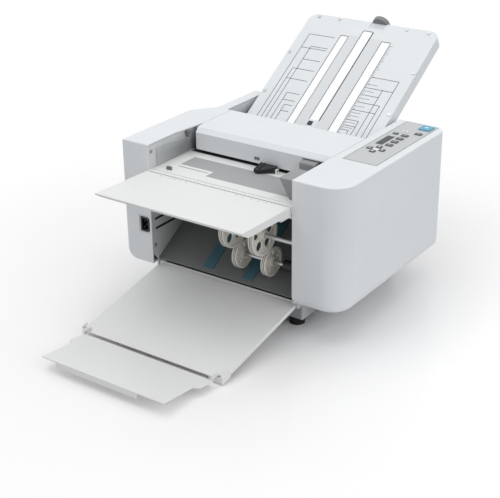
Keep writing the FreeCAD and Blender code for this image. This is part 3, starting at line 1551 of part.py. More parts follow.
def side_screw(name, side, y, z):
    """A screw through a side frame from the inside, head on the frame's inner face."""
    head_low, head_high = beside(side, "gap_half - screw_head_rise", "gap_half")
    low, high = beside(side, "gap_half", "gap_half + screw_length")
    return join(name, [rod(name + "_head", "x", head_low, head_high, y, z, "screw_head_radius"),
                       rod(name + "_shank", "x", low, high, y, z, "screw_radius")])


def table_screw(name, x, slope):
    """A screw in the table's surface."""
    return join(name, [rod(name + "_head", "z", "0", "screw_head_rise", x, slope,
                           "screw_head_radius"),
                       rod(name + "_shank", "z", "-screw_length", "0", x, slope, "screw_radius")])


def make_screws():
    """All the machine's identical screws: side covers, motor mount and feed table."""
    screws = []
    for side, word in ((-1, "left"), (1, "right")):
        for number, (y, z) in enumerate(cover_screw_spots()):
            screws.append(side_screw("cover_screw_%s_%d" % (word, number), side, y, z))
    for number, (y, z) in enumerate(mount_spots()):
        screws.append(side_screw("mount_screw_%d" % number, -1, y, z))
    on_table = group("table_screws", [table_screw("table_screw_%d" % number, x, slope)
                                      for number, (x, slope) in enumerate(TABLE_SCREWS)])
    turn(on_table, X_AXIS, "table_tilt")
    place(on_table, "0", "table_y", "table_z")
    return node(group("screws", screws + [on_table]), "screws")


def build():
    """Every sub-part of the machine, from the desk upwards."""
    make_feet()
    make_base_pan()
    make_side_frame(-1, "left_side_frame")
    make_side_frame(1, "right_side_frame")
    make_tie_bars()
    make_cover(-1, "left_cover", "left_low_round", inlet_openings(), [cover_shelf()])
    make_cover(1, "right_cover", "right_low_round", panel_openings(), [])
    make_power_inlet()
    make_control_panel()
    make_display_window()
    for key in key_table():
        make_key(*key)
    make_top_cover()
    make_cover_catch()
    make_release_lever()
    make_right_side_block()
    make_left_wall_plate()
    make_front_fold_plate()
    make_front_fold_stop()
    make_inner_guide()
    make_fold_plate_latch()
    make_bearings()
    make_feed_roller()
    for number in range(len(FOLD_AXES)):
        make_fold_roller(number)
        make_fold_gear(number)
    make_motor_mount()
    make_main_motor()
    make_motor_pinion()
    make_rear_fold_plate()
    make_chute()
    make_guide_strips()
    make_stacker_shaft("lower_stacker_shaft", "lower_y", "lower_z")
    make_stacker_shaft("upper_stacker_shaft", "upper_y", "upper_z")
    make_wheel("lower_wheel_inner", "wheel_inner_x", "lower_y", "lower_z", "lower_wheel_radius")
    make_wheel("lower_wheel_outer", "wheel_outer_x", "lower_y", "lower_z", "lower_wheel_radius")
    make_wheel("upper_wheel_inner", "wheel_inner_x", "upper_y", "upper_z", "upper_wheel_radius")
    make_wheel("upper_wheel_outer", "wheel_outer_x", "upper_y", "upper_z", "upper_wheel_radius")
    make_hub_motor()
    make_feed_table()
    make_paper_sensor()
    make_skew_knob()
    make_tray()
    make_tray_extension()
    make_screws()


def check_document():
    """Stop if any object failed or any sub-part is not a sound solid."""
    for thing in doc.Objects:
        if "Invalid" in thing.State or "Error" in thing.State:
            raise RuntimeError("failed: " + thing.Label)
    for thing in nodes:
        if thing.Shape.isNull() or not thing.Shape.isValid() or not thing.Shape.Solids:
            raise RuntimeError("not a sound solid: " + thing.Label)


def write_steps():
    """One STEP file for each sub-part, named by its label."""
    os.makedirs("parts", exist_ok=True)
    for thing in nodes:
        thing.Shape.exportStep(os.path.join("parts", thing.Label + ".step"))


fill_sheet()
build()
doc.recompute()
check_document()
write_steps()
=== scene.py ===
import json
import math
import bmesh
import bpy
from mathutils import Matrix, Vector


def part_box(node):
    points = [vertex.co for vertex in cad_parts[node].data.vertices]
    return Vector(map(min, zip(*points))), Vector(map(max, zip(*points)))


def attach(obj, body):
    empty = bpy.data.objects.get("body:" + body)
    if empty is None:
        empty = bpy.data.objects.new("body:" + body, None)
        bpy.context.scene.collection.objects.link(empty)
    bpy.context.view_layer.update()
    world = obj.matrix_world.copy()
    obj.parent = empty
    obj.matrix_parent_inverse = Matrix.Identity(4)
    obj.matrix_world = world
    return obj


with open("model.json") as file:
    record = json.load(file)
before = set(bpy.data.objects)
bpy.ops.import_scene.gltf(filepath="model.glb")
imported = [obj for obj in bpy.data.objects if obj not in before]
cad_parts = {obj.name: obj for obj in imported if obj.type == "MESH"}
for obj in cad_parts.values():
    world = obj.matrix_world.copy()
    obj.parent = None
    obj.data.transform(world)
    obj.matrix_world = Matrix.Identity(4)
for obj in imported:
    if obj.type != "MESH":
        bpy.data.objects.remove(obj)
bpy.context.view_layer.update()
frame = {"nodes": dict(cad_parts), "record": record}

bl_info = {
    "name": "Paper folding machine",
    "version": (1, 0, 0),
    "blender": (4, 5, 0),
    "location": "3D View > Sidebar > Folder",
    "description": "Finishes, printed scales, key marks and studio for a paper folding machine",
    "category": "Object",
}

BODY = "machine"


def middle(name):
    """The middle of a node's box at rest."""
    low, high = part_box(name)
    return [(a + b) / 2 for a, b in zip(low, high)]


def joint(name):
    """One joint of the frame's record by its name."""
    for entry in frame["record"]["behaviour"]["joints"]:
        if entry["name"] == name:
            return entry
    raise KeyError(name)


KNOB_AXIS = Vector(joint("skew_knob_turn")["axis"])
KNOB_PLACE = Vector(joint("skew_knob_turn")["pos_m"])
TABLE_TILT = math.atan2(KNOB_AXIS.z, KNOB_AXIS.y)


def rgb(name, text, value):
    """A colour that a user can change."""
    return bpy.props.FloatVectorProperty(name=name, description=text, subtype="COLOR", size=4,
                                         min=0.0, max=1.0, default=(*value, 1.0))


def length(name, text, value):
    """A length that a user can change, in metres."""
    return bpy.props.FloatProperty(name=name, description=text, unit="LENGTH", default=value)


class FolderColours(bpy.types.PropertyGroup):
    """Colours of the machine's finishes."""
    case: rgb("Case", "Moulded side covers, top cover and feed table", (0.695, 0.725, 0.75))
    sheet: rgb("White sheet", "Powder-coated fold plate and guide", (0.73, 0.735, 0.735))
    tray: rgb("Tray sheet", "Powder-coated delivery tray", (0.76, 0.765, 0.765))
    frame: rgb("Frame sheet", "Light grey side frames", (0.33, 0.34, 0.345))
    inside: rgb("Inner sheet", "Dark chute, lower fold plate and motor bracket",
                (0.14, 0.147, 0.147))
    pan: rgb("Base pan", "Darker grey pan", (0.33, 0.34, 0.35))
    block: rgb("Side block", "Grey block beside the opening", (0.27, 0.28, 0.28))
    wall: rgb("Wall plate", "Wear plate on the left wall", (0.27, 0.28, 0.28))
    catch: rgb("Catch", "Small grey catch beside the top cover", (0.16, 0.165, 0.17))
    panel: rgb("Control panel", "Panel let into the right cover", (0.50, 0.515, 0.52))
    window: rgb("Display window", "Window over the display", (0.020, 0.028, 0.027))
    display: rgb("Display rows", "Faint rows on the display", (0.070, 0.085, 0.080))
    lever: rgb("Release lever", "Grey plastic of the release lever", (0.26, 0.27, 0.275))
    # This colour also paints the strip of shade on the guide under the top cover.
    dark: rgb("Dark lines", "Dark slots between sheets", (0.060, 0.062, 0.066))
    black: rgb("Black plastic", "Inlet, latch and sensor", (0.012, 0.012, 0.014))
    key: rgb("Grey keys", "Menu keys and arrow keys", (0.085, 0.095, 0.105))
    key_light: rgb("White key", "Counter key", (0.75, 0.76, 0.76))
    start: rgb("Start button", "Blue start button", (0.10, 0.36, 0.50))
    rubber: rgb("Roller rubber", "Fold and feed rollers", (0.030, 0.031, 0.034))
    foot: rgb("Foot rubber", "Feet", (0.010, 0.010, 0.010))
    steel: rgb("Steel", "Shafts, bars and screws", (0.52, 0.53, 0.54))
    bronze: rgb("Bronze", "Bearing bushes", (0.45, 0.33, 0.18))
    wheel: rgb("Wheels", "Cream stacker wheels", (0.74, 0.72, 0.66))
    strip: rgb("Guide strips", "Dark teal strips on the chute", (0.050, 0.13, 0.175))
    knob: rgb("Skew knob", "Grey knob behind the table", (0.20, 0.21, 0.215))
    ink: rgb("Scale ink", "Printed lines on the table", (0.030, 0.030, 0.034))
    floor_white: rgb("Groove floor", "White floors of the table's grooves", (0.92, 0.925, 0.93))
    band_dark: rgb("Guide band", "Grey band across the inner guide", (0.34, 0.35, 0.355))
    band: rgb("Bands", "Grey bands beside the middle groove", (0.64, 0.66, 0.675))


class FolderSizes(bpy.types.PropertyGroup):
    """Sizes of the printed scales and small marks."""
    line_width: length("Line width", "Width of a printed format line", 0.0014)
    fine_width: length("Fine line width", "Width of a scale tick", 0.0009)
    print_thick: length("Print thickness", "How far print stands on its surface", 0.00012)
    mark_size: length("Key mark", "Size of the mark on a key", 0.0046)
    format_width: length("Format width", "Distance between the widest format lines", 0.297)


class FolderStage(bpy.types.PropertyGroup):
    """Camera, lamps and floor."""
    camera_turn: bpy.props.FloatProperty(
        name="Camera turn", description="Angle round the machine from its front",
        subtype="ANGLE", default=math.radians(35.30))
    camera_height: bpy.props.FloatProperty(
        name="Camera elevation", description="Angle above the desk", subtype="ANGLE",
        default=math.radians(25.10))
    camera_roll: bpy.props.FloatProperty(
        name="Camera roll", description="Turn about the line of sight", subtype="ANGLE",
        default=math.radians(-0.73))
    camera_distance: length("Camera distance", "From the camera to the point it looks at", 2.6684)
    camera_lens: bpy.props.FloatProperty(
        name="Lens", description="Focal length on a 36 mm sensor, in millimetres", default=84.61)
    floor_colour: rgb("Floor", "Pale floor", (0.93, 0.93, 0.935))
    lamp_power: bpy.props.FloatProperty(
        name="Lamp power", description="Power of the main lamp", unit="POWER", default=19.0)
    sky_strength: bpy.props.FloatProperty(
        name="Plain light", description="Strength of the plain light all round", default=0.5)


class Value:
    """A shader socket with arithmetic: each operator adds one Math node."""

    def __init__(self, shader, socket):
        self.shader = shader
        self.socket = socket

    def __add__(self, other):
        return self.shader.maths("ADD", self, other)

    def __radd__(self, other):
        return self.shader.maths("ADD", other, self)

    def __sub__(self, other):
        return self.shader.maths("SUBTRACT", self, other)

    def __rsub__(self, other):
        return self.shader.maths("SUBTRACT", other, self)

    def __mul__(self, other):
        return self.shader.maths("MULTIPLY", self, other)

    def __rmul__(self, other):
        return self.shader.maths("MULTIPLY", other, self)


class Shader:
    """A node material that is built up by calls."""

    def __init__(self, name):
        self.material = bpy.data.materials.new(name)
        self.material.use_nodes = True
        self.tree = self.material.node_tree
        self.tree.nodes.clear()
        self.place = self.node("ShaderNodeTexCoord").outputs["Object"]

    def node(self, kind, settings=None, sockets=None):
        """One node: its settings are set first, then its sockets."""
        made = self.tree.nodes.new(kind)
        for name, setting in (settings or {}).items():
            setattr(made, name, setting)
        for name, value in (sockets or {}).items():
            self.feed(made.inputs[name], value)
        return made

    def feed(self, socket, value):
        """Put a number, a colour or a link into a socket."""
        if isinstance(value, Value):
            value = value.socket
        if isinstance(value, bpy.types.NodeSocket):
            self.tree.links.new(value, socket)
        else:
            socket.default_value = value

    def maths(self, operation, first, second):
        """A Math node on two values."""
        made = self.node("ShaderNodeMath", {"operation": operation}, {0: first, 1: second})
        return Value(self, made.outputs[0])

    def noise(self, scale, detail=3.0, place=None):
        """Noise between 0 and 1 at a scale in repeats for each metre."""
        made = self.node("ShaderNodeTexNoise", None, {
            "Vector": place or self.place, "Scale": scale, "Detail": detail,
            "Roughness": 0.5})
        return Value(self, made.outputs["Fac"])

    def along(self, axis, start, end):
        """How far a point lies from start to end on an axis, between 0 and 1."""
        parts = self.node("ShaderNodeSeparateXYZ", None, {"Vector": self.place})
        run = self.node("ShaderNodeMapRange", None, {
            "Value": parts.outputs[axis], "From Min": start, "From Max": end})
        return Value(self, run.outputs["Result"])

    def stretched(self, scale):
        """Object coordinates stretched by a vector."""
        return self.node("ShaderNodeMapping", None,
                         {"Vector": self.place, "Scale": scale}).outputs["Vector"]

    def mix(self, factor, first, second):
        """A colour between two colours."""
        made = self.node("ShaderNodeMix", {"data_type": "RGBA"})
        self.feed(made.inputs["Factor"], factor)
        self.feed(made.inputs[6], first)
        self.feed(made.inputs[7], second)
        return made.outputs[2]

    def tone(self, wave, colour, factors):
        """A colour that runs between its shades at two factors as a wave goes from 0 to 1."""
        return self.mix(wave, *(shaded(colour, factor) for factor in factors))

    def bump(self, height, distance, strength):
        """A normal from a height."""
        return self.node("ShaderNodeBump", None, {
            "Height": height, "Distance": distance, "Strength": strength}).outputs["Normal"]

    def surface(self, sockets):
        """The finished surface."""
        shader = self.node("ShaderNodeBsdfPrincipled", None, sockets)
        output = self.node("ShaderNodeOutputMaterial")
        self.tree.links.new(shader.outputs[0], output.inputs["Surface"])
        return self.material


def shaded(colour, factor):
    """A colour made darker or lighter by a factor."""
    return (*(min(1.0, part * factor) for part in colour[:3]), 1.0)


def spread(base, half, wave):
    """A roughness that runs from base - half to base + half with a wave between 0 and 1."""
    return base - half + 2 * half * wave


# Each finish below has its noises in repeats for each metre and its depths in metres. A VARY
# pair holds the factors that its colour runs between.
MOULD_CLOUD = 9.0
MOULD_VARY = (0.965, 1.035)
MOULD_GRAIN = 2600.0
MOULD_GRAIN_DEPTH = 0.00006
MOULD_WEAR = 60.0
MOULD_ROUGHNESS = 0.42


def moulded(name, colour, roughness=MOULD_ROUGHNESS):
    """Moulded plastic: fine spark-eroded grain with a faint cloudiness of tone."""
    shader = Shader(name)
    return shader.surface({
        "Base Color": shader.tone(shader.noise(MOULD_CLOUD, 2.0), colour, MOULD_VARY),
        "Roughness": spread(roughness, 0.05, shader.noise(MOULD_WEAR)),
        "Specular IOR Level": 0.4,
        "Normal": shader.bump(shader.noise(MOULD_GRAIN, 2.0), MOULD_GRAIN_DEPTH, 0.35)})


COAT_CLOUD = 6.0
COAT_VARY = (0.965, 1.03)
COAT_PEEL = 420.0
COAT_GRAIN = 1900.0
COAT_GRAIN_SHARE = 0.35
COAT_DEPTH = 0.00009
COAT_WEAR = 35.0
COAT_ROUGHNESS = 0.46


def powder_coated(name, colour):
    """Powder-coated sheet: orange-peel ripple over fine grain."""
    shader = Shader(name)
    ripple = shader.noise(COAT_PEEL, 2.0) + COAT_GRAIN_SHARE * shader.noise(COAT_GRAIN, 1.0)
    return shader.surface({
        "Base Color": shader.tone(shader.noise(COAT_CLOUD, 2.0), colour, COAT_VARY),
        "Roughness": spread(COAT_ROUGHNESS, 0.06, shader.noise(COAT_WEAR)),
        "Specular IOR Level": 0.45,
        "Normal": shader.bump(ripple, COAT_DEPTH, 0.3)})


# The inner walls' tone is painted shade, which runs between these levels along y and along z.
WALL_FRONT = -0.130
WALL_BACK = -0.030
WALL_HIGH = 0.352
WALL_LOW = 0.318
WALL_SHADE_VARY = (1.8, 0.85)
WALL_CLOUD = 14.0
WALL_CLOUD_SHARE = 0.25
WALL_GRAIN = 900.0
WALL_DEPTH = 0.00005
WALL_ROUGHNESS = 0.4


def wall_sheet_painted_shade(name, colour):
    """Plain sheet of the inner walls with painted shade: bright in front and along the top, darker
    behind.
    """
    shader = Shader(name)
    # Painted shade: this wave darkens the wall towards the back and bottom of the machine's shaded
    # inside.
    run = (shader.along("Y", WALL_FRONT, WALL_BACK) * shader.along("Z", WALL_HIGH, WALL_LOW)
           + WALL_CLOUD_SHARE * (shader.noise(WALL_CLOUD, 2.0) - 0.5))
    return shader.surface({
        "Base Color": shader.tone(run, colour, WALL_SHADE_VARY),
        "Roughness": spread(WALL_ROUGHNESS, 0.06, shader.noise(COAT_WEAR)),
        "Specular IOR Level": 0.45,
        "Normal": shader.bump(shader.noise(WALL_GRAIN, 2.0), WALL_DEPTH, 0.25)})


STEEL_RINGS = (5200.0, 40.0, 40.0)
STEEL_VARY = (0.86, 1.08)
STEEL_DEPTH = 0.00003
STEEL_ROUGHNESS = 0.3


def turned_steel(name, colour):
    """Ground or turned metal with fine rings across the x axis."""
    shader = Shader(name)
    rings = shader.noise(1.0, place=shader.stretched(STEEL_RINGS))
    return shader.surface({
        "Base Color": shader.tone(rings, colour, STEEL_VARY),
        "Metallic": 1.0,
        "Roughness": spread(STEEL_ROUGHNESS, 0.07, rings),
        "Normal": shader.bump(rings, STEEL_DEPTH, 0.3)})


RUBBER_LAY = (60.0, 2600.0, 2600.0)
RUBBER_DUST = 28.0
RUBBER_VARY = (0.8, 1.7)
RUBBER_DEPTH = 0.00008
RUBBER_ROUGHNESS = 0.62


def rubber(name, colour):
    """Ground rubber: matt, with a fine lengthwise lay and a dusting of paper."""
    shader = Shader(name)
    lay = shader.noise(1.0, place=shader.stretched(RUBBER_LAY))
    dust = shader.noise(RUBBER_DUST, 4.0)
    return shader.surface({
        "Base Color": shader.tone(dust, colour, RUBBER_VARY),
        "Roughness": RUBBER_ROUGHNESS + 0.12 * dust,
        "Specular IOR Level": 0.3,
        "Normal": shader.bump(lay, RUBBER_DEPTH, 0.4)})


PANE_SMEAR = 45.0
PANE_VARY = (0.94, 1.06)
PANE_DEPTH = 0.00002
PANE_ROUGHNESS = 0.32


def glossy(name, colour):
    """A smooth clear-coated pane."""
    shader = Shader(name)
    smear = shader.noise(PANE_SMEAR)
    return shader.surface({
        "Base Color": shader.tone(smear, colour, PANE_VARY),
        "Roughness": PANE_ROUGHNESS + 0.06 * smear,
        "Coat Weight": 0.1,
        "Coat Roughness": 0.2,
        "Normal": shader.bump(smear, PANE_DEPTH, 0.2)})


INK_COVER = 900.0
INK_VARY = (0.9, 1.15)
INK_DEPTH = 0.00002
INK_ROUGHNESS = 0.5


def printed(name, colour):
    """Screen-printed ink: matt, slightly uneven in tone."""
    shader = Shader(name)
    cover = shader.noise(INK_COVER, 2.0)
    return shader.surface({
        "Base Color": shader.tone(cover, colour, INK_VARY),
        "Roughness": INK_ROUGHNESS + 0.1 * cover,
        "Specular IOR Level": 0.3,
        "Normal": shader.bump(cover, INK_DEPTH, 0.2)})


# Distances on the feed table: across from the paper path's middle, and up the slope.
KNOB_ACROSS = 0.015
KNOB_SLOPE = 0.422
KNOB_DEPTH = 0.007
TABLE = (Matrix.Translation(KNOB_PLACE) @ Matrix.Rotation(TABLE_TILT, 4, "X")
         @ Matrix.Translation((-KNOB_ACROSS, -KNOB_SLOPE, KNOB_DEPTH)))
PRINT_LOW = 0.082
# Each format: its edge as a share of the widest one's, how far up it goes, and its cross lines.
LEFT_FORMATS = [(1.0, 0.355, (0.355, 0.310)), (0.835, 0.317, (0.317, 0.274)),
                (0.915, 0.242, (0.242, 0.209)), (0.740, 0.166, (0.166, 0.144)),
                (0.653, 0.130, (0.130, 0.111))]
RIGHT_FORMATS = [(1.0, 0.256, (0.256, 0.223)), (0.816, 0.224, (0.201,)),
                 (0.915, 0.178, (0.178, 0.154)), (0.727, 0.124, (0.124, 0.107)),
                 (0.653, 0.094, (0.094,))]
CROSS_END = 0.076
# Short rungs beside the right groove: how far out, and their places up the slope.
RUNG_REACH = 0.103
RUNGS = (0.234, 0.213, 0.190, 0.166, 0.146, 0.136, 0.116, 0.101)
# Each groove: its left and right edges, and its low and high ends.
LEFT_GROOVE = (-0.064, -0.044, 0.081, 0.366)
MIDDLE_GROOVE = (-0.013, 0.012, 0.103, 0.391)
RIGHT_GROOVE = (0.049, 0.072, 0.081, 0.366)
GROOVES = (LEFT_GROOVE, MIDDLE_GROOVE, RIGHT_GROOVE)
GROOVE_DEEP = 0.0012
FLOOR_ROUGHNESS = 0.35
# The grey bands' left and right edges, and how far they stop short of the middle groove's top.
BANDS = [(-0.0435, -0.0135), (0.0125, 0.0485)]
BAND_SHORT = 0.02
# The ticks beside the right groove: every fifth one is twice as long.
TICK_STEP = 0.005
TICK_LONG = 0.004
TICK_PLACE = 0.0745
TICK_GROUP = 5
TICK_GROUP_REACH = 2


def settings():
    """The three groups of settings of the scene."""
    scene = bpy.context.scene
    return scene.folder_colours, scene.folder_sizes, scene.folder_stage


def add_bar(mesh, low, high):
    """A box from its low corner to its high corner."""
    size = [b - a for a, b in zip(low, high)]
    centre = [(a + b) / 2 for a, b in zip(low, high)]
    bmesh.ops.create_cube(mesh, size=1.0, matrix=Matrix.LocRotScale(centre, None, size))


def add_piece(name, mesh, material, body):
    """Make a finished mesh into a piece that rides on a body."""
    bmesh.ops.recalc_face_normals(mesh, faces=mesh.faces)
    data = bpy.data.meshes.new(name)
    mesh.to_mesh(data)
    mesh.free()
    data.materials.append(material)
    piece = bpy.data.objects.new(name, data)
    bpy.context.collection.objects.link(piece)
    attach(piece, body)
    return piece


def dress(name, material):
    """Give a CAD node a material without touching its mesh."""
    node = frame["nodes"][name]
    if not node.material_slots:
        node.data.materials.append(material)
    for place in node.material_slots:
        place.material = material


def upright(mesh, x, low, high, width, thick):
    """A printed line up the table's slope."""
    add_bar(mesh, (x - width / 2, low, 0), (x + width / 2, high, thick))


def across(mesh, left, right, slope, width, thick):
    """A printed line across the table."""
    add_bar(mesh, (left, slope - width / 2, 0), (right, slope + width / 2, thick))


def print_formats(mesh, side, formats, sizes):
    """The format lines on one side of the table."""
    half, thick = sizes.format_width / 2, sizes.print_thick
    for share, top, crosses in formats:
        edge = side * half * share
        upright(mesh, edge, PRINT_LOW, top, sizes.line_width, thick)
        for slope in crosses:
            ends = sorted((edge, side * CROSS_END))
            across(mesh, ends[0], ends[1], slope, sizes.line_width, thick)


def print_rungs(mesh, sizes):
    """Short lines across, between the formats on the right."""
    for slope in RUNGS:
        across(mesh, CROSS_END, RUNG_REACH, slope, sizes.fine_width, sizes.print_thick)


def print_ticks(mesh, sizes):
    """The scale's ticks beside the right groove."""
    top = RIGHT_GROOVE[3]
    for number in range(int((top - PRINT_LOW) / TICK_STEP)):
        slope = PRINT_LOW + number * TICK_STEP
        reach = TICK_LONG * (1 if number % TICK_GROUP else TICK_GROUP_REACH)
        across(mesh, TICK_PLACE, TICK_PLACE + reach, slope, sizes.fine_width, sizes.print_thick)


def outline_groove(mesh, groove, sizes):
    """The dark line down both sides of a groove and over its top."""
    left, right, low, high = groove
    width, thick = sizes.line_width, sizes.print_thick
    for edge in (left - width / 2, right + width / 2):
        upright(mesh, edge, low, high, width, thick)
    across(mesh, left, right, high + width / 2, width, thick)


def rule_middle(mesh, sizes):
    """The heavy reference line at the right of the middle groove."""
    _, right, low, high = MIDDLE_GROOVE
    upright(mesh, right + sizes.line_width, low, high, 2 * sizes.line_width, sizes.print_thick)


class FOLDER_OT_table_print(bpy.types.Operator):
    """Print the format lines and scales on the feed table and lay its groove floors"""
    bl_idname = "folder.table_print"
    bl_label = "Table print"

    def execute(self, context):
        colours, sizes, _ = settings()
        lines = bmesh.new()
        print_formats(lines, -1, LEFT_FORMATS, sizes)
        print_formats(lines, 1, RIGHT_FORMATS, sizes)
        print_rungs(lines, sizes)
        print_ticks(lines, sizes)
        for groove in GROOVES:
            outline_groove(lines, groove, sizes)
        rule_middle(lines, sizes)
        lines.transform(TABLE)
        add_piece("table_lines", lines, printed("scale ink", colours.ink), BODY)
        floors = bmesh.new()
        for left, right, low, high in GROOVES:
            add_bar(floors, (left, low, -GROOVE_DEEP),
                    (right, high, sizes.print_thick - GROOVE_DEEP))
        floors.transform(TABLE)
        add_piece("groove_floors", floors,
                  moulded("groove floor", colours.floor_white, FLOOR_ROUGHNESS), BODY)
        bands = bmesh.new()
        band_top = MIDDLE_GROOVE[3] - BAND_SHORT
        for left, right in BANDS:
            add_bar(bands, (left, PRINT_LOW, 0), (right, band_top, sizes.print_thick / 2))
        bands.transform(TABLE)
        add_piece("table_bands", bands, printed("grey band", colours.band), BODY)
        return {"FINISHED"}


DASH_KEYS = ["menu_key_1", "menu_key_2", "menu_key_3", "menu_key_4", "program_key", "reset_key"]
# The arrow keys and how far each arrow is turned, in degrees.
ARROW_TURNS = {"arrow_key_left": 180.0, "arrow_key_right": 0.0, "arrow_key_front": 270.0,
               "arrow_key_back": 90.0}
# Sizes of the marks as shares of the key mark's size.
ARROW_SHARE = 0.8
DASH_SHARE = 0.25
DIAMOND_SHARE = 1.5
DOT_CORNERS = 24


def flat_mark(corners, radius, thick, turn):
    """A thin plate with a number of corners, turned about the upright."""
    mesh = bmesh.new()
    bmesh.ops.create_circle(mesh, cap_ends=True, segments=corners, radius=radius)
    bmesh.ops.rotate(mesh, verts=mesh.verts, cent=(0, 0, 0),
                     matrix=Matrix.Rotation(math.radians(turn), 3, "Z"))
    grown = bmesh.ops.extrude_face_region(mesh, geom=mesh.faces[:])
    raised = [item for item in grown["geom"] if isinstance(item, bmesh.types.BMVert)]
    bmesh.ops.translate(mesh, verts=raised, vec=(0, 0, thick))
    return mesh


def mark_key(mesh, material, key):
    """Lay a mark on the middle of a key's top, where it rides on the key."""
    centre, top = middle(key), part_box(key)[1][2]
    bmesh.ops.translate(mesh, verts=mesh.verts, vec=(centre[0], centre[1], top))
    add_piece(key + "_mark", mesh, material, key)


class FOLDER_OT_key_marks(bpy.types.Operator):
    """Print plain marks on the keys: arrows, dashes, a dot and a start diamond"""
    bl_idname = "folder.key_marks"
    bl_label = "Key marks"

    def execute(self, context):
        colours, sizes, _ = settings()
        pale = printed("pale print", colours.key_light)
        dark = printed("dark print", colours.ink)
        half, thick = sizes.mark_size / 2, sizes.print_thick
        for key, turn in ARROW_TURNS.items():
            mark_key(flat_mark(3, sizes.mark_size * ARROW_SHARE, thick, turn), pale, key)
        for key in DASH_KEYS:
            mesh = bmesh.new()
            add_bar(mesh, (-half, -half * DASH_SHARE, 0), (half, half * DASH_SHARE, thick))
            mark_key(mesh, pale, key)
        mark_key(flat_mark(DOT_CORNERS, half, thick, 0), dark, "counter_key")
        mark_key(flat_mark(4, sizes.mark_size, thick, 0), pale, "start_button")
        return {"FINISHED"}


PANEL_BORDER = 0.0016
# The display's columns end two margins under its top, and every second one three more.
SCREEN_MARGIN = 0.0022
SCREEN_COLUMNS = 4
SCREEN_GAP_SHARE = 0.2
SCREEN_TOP = 2
SCREEN_STEP = 3


def panel_border(width, thick):
    """A thin frame printed just inside the panel's edge."""
    low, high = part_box("control_panel")
    left, front = low[0] + PANEL_BORDER, low[1] + PANEL_BORDER
    right, back = high[0] - PANEL_BORDER, high[1] - PANEL_BORDER
    half, top = width / 2, high[2]
    mesh = bmesh.new()
    for x in (left, right):
        add_bar(mesh, (x - half, front, top), (x + half, back, top + thick))
    for y in (front, back):
        add_bar(mesh, (left, y - half, top), (right, y + half, top + thick))
    return mesh


def display_columns(thick):
    """Faint columns on the display, every second one shorter."""
    low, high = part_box("display_window")
    wide = (high[0] - low[0] - 2 * SCREEN_MARGIN) / SCREEN_COLUMNS
    gap = SCREEN_GAP_SHARE * wide
    mesh = bmesh.new()
    for number in range(SCREEN_COLUMNS):
        left = low[0] + SCREEN_MARGIN + number * wide
        margins = SCREEN_TOP + SCREEN_STEP * (number % 2)
        add_bar(mesh, (left + gap, low[1] + SCREEN_MARGIN, high[2]),
                (left + wide - gap, high[1] - SCREEN_MARGIN * margins, high[2] + thick))
    return mesh


class FOLDER_OT_panel_print(bpy.types.Operator):
    """Print the panel's border, the diamond between the arrows and the display's columns"""
    bl_idname = "folder.panel_print"
    bl_label = "Panel print"

    def execute(self, context):
        colours, sizes, _ = settings()
        thick = sizes.print_thick
        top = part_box("control_panel")[1][2]
        add_piece("panel_border", panel_border(sizes.fine_width, thick),
                  printed("border print", colours.key), BODY)
        diamond = flat_mark(4, sizes.mark_size * DIAMOND_SHARE, thick, 0)
        spots = [Vector(middle(key)) for key in ARROW_TURNS]
        centre = sum(spots, Vector()) / len(spots)
        bmesh.ops.translate(diamond, verts=diamond.verts, vec=(centre.x, centre.y, top))
        add_piece("panel_diamond", diamond, printed("white print", colours.key_light), BODY)
        add_piece("display_rows", display_columns(thick),
                  printed("display print", colours.display), BODY)
        return {"FINISHED"}


# Which CAD nodes take each finish: the colour's name, the maker of the finish, and the nodes.
FINISHES = [
    ("case", moulded, ["left_cover", "right_cover", "top_cover", "feed_table"]),
    ("sheet", powder_coated, ["front_fold_plate", "inner_guide"]),
    ("tray", powder_coated, ["delivery_tray", "tray_extension"]),
    # The side frames and the wall plate carry painted shade in their finish.
    ("frame", wall_sheet_painted_shade, ["left_side_frame", "right_side_frame"]),
    ("inside", powder_coated, ["delivery_chute", "rear_fold_plate", "motor_mount"]),
    ("pan", powder_coated, ["base_pan"]),
    ("block", moulded, ["right_side_block"]),
    ("wall", wall_sheet_painted_shade, ["left_wall_plate"]),
    ("catch", moulded, ["cover_catch"]),
    ("panel", moulded, ["control_panel"]),
    ("window", glossy, ["display_window"]),
    ("lever", moulded, ["release_lever"]),
    ("black", moulded, ["power_inlet", "fold_plate_latch", "paper_sensor", "stacker_motor",
                        "main_motor"]),
    ("key", moulded, ["menu_key_1", "menu_key_2", "menu_key_3", "menu_key_4", "program_key",
                      "reset_key", "arrow_key_left", "arrow_key_right", "arrow_key_front",
                      "arrow_key_back"]),
    ("key_light", moulded, ["counter_key"]),
    ("start", moulded, ["start_button"]),
    ("rubber", rubber, ["fold_roller_1", "fold_roller_2", "fold_roller_3", "fold_roller_4",
                        "feed_roller"]),
    ("foot", rubber, ["feet"]),
    ("steel", turned_steel, ["tie_bars", "screws", "lower_stacker_shaft", "upper_stacker_shaft",
                             "front_fold_stop"]),
    ("bronze", turned_steel, ["bearings"]),
    ("wheel", moulded, ["lower_wheel_inner", "lower_wheel_outer", "upper_wheel_inner",
                        "upper_wheel_outer", "fold_gear_1", "fold_gear_2", "fold_gear_3",
                        "fold_gear_4", "motor_pinion"]),
    ("strip", moulded, ["guide_strips"]),
    ("knob", moulded, ["skew_knob"]),
]


class FOLDER_OT_finishes(bpy.types.Operator):
    """Give every piece of the machine its finish"""
    bl_idname = "folder.finishes"
    bl_label = "Finishes"

    def execute(self, context):
        colours = settings()[0]
        for name, maker, nodes in FINISHES:
            material = maker(name.replace("_", " ") + " finish", getattr(colours, name))
            for node in nodes:
                dress(node, material)
        bare = [name for name, node in frame["nodes"].items() if not node.material_slots]
        if bare:
            raise RuntimeError("these nodes have no finish: %s" % ", ".join(bare))
        return {"FINISHED"}


WHEELS = ["lower_wheel_inner", "lower_wheel_outer", "upper_wheel_inner", "upper_wheel_outer"]
RIM_LINES = 2
RIM_SEGMENTS = 72
GRIP_THICK = 0.0006


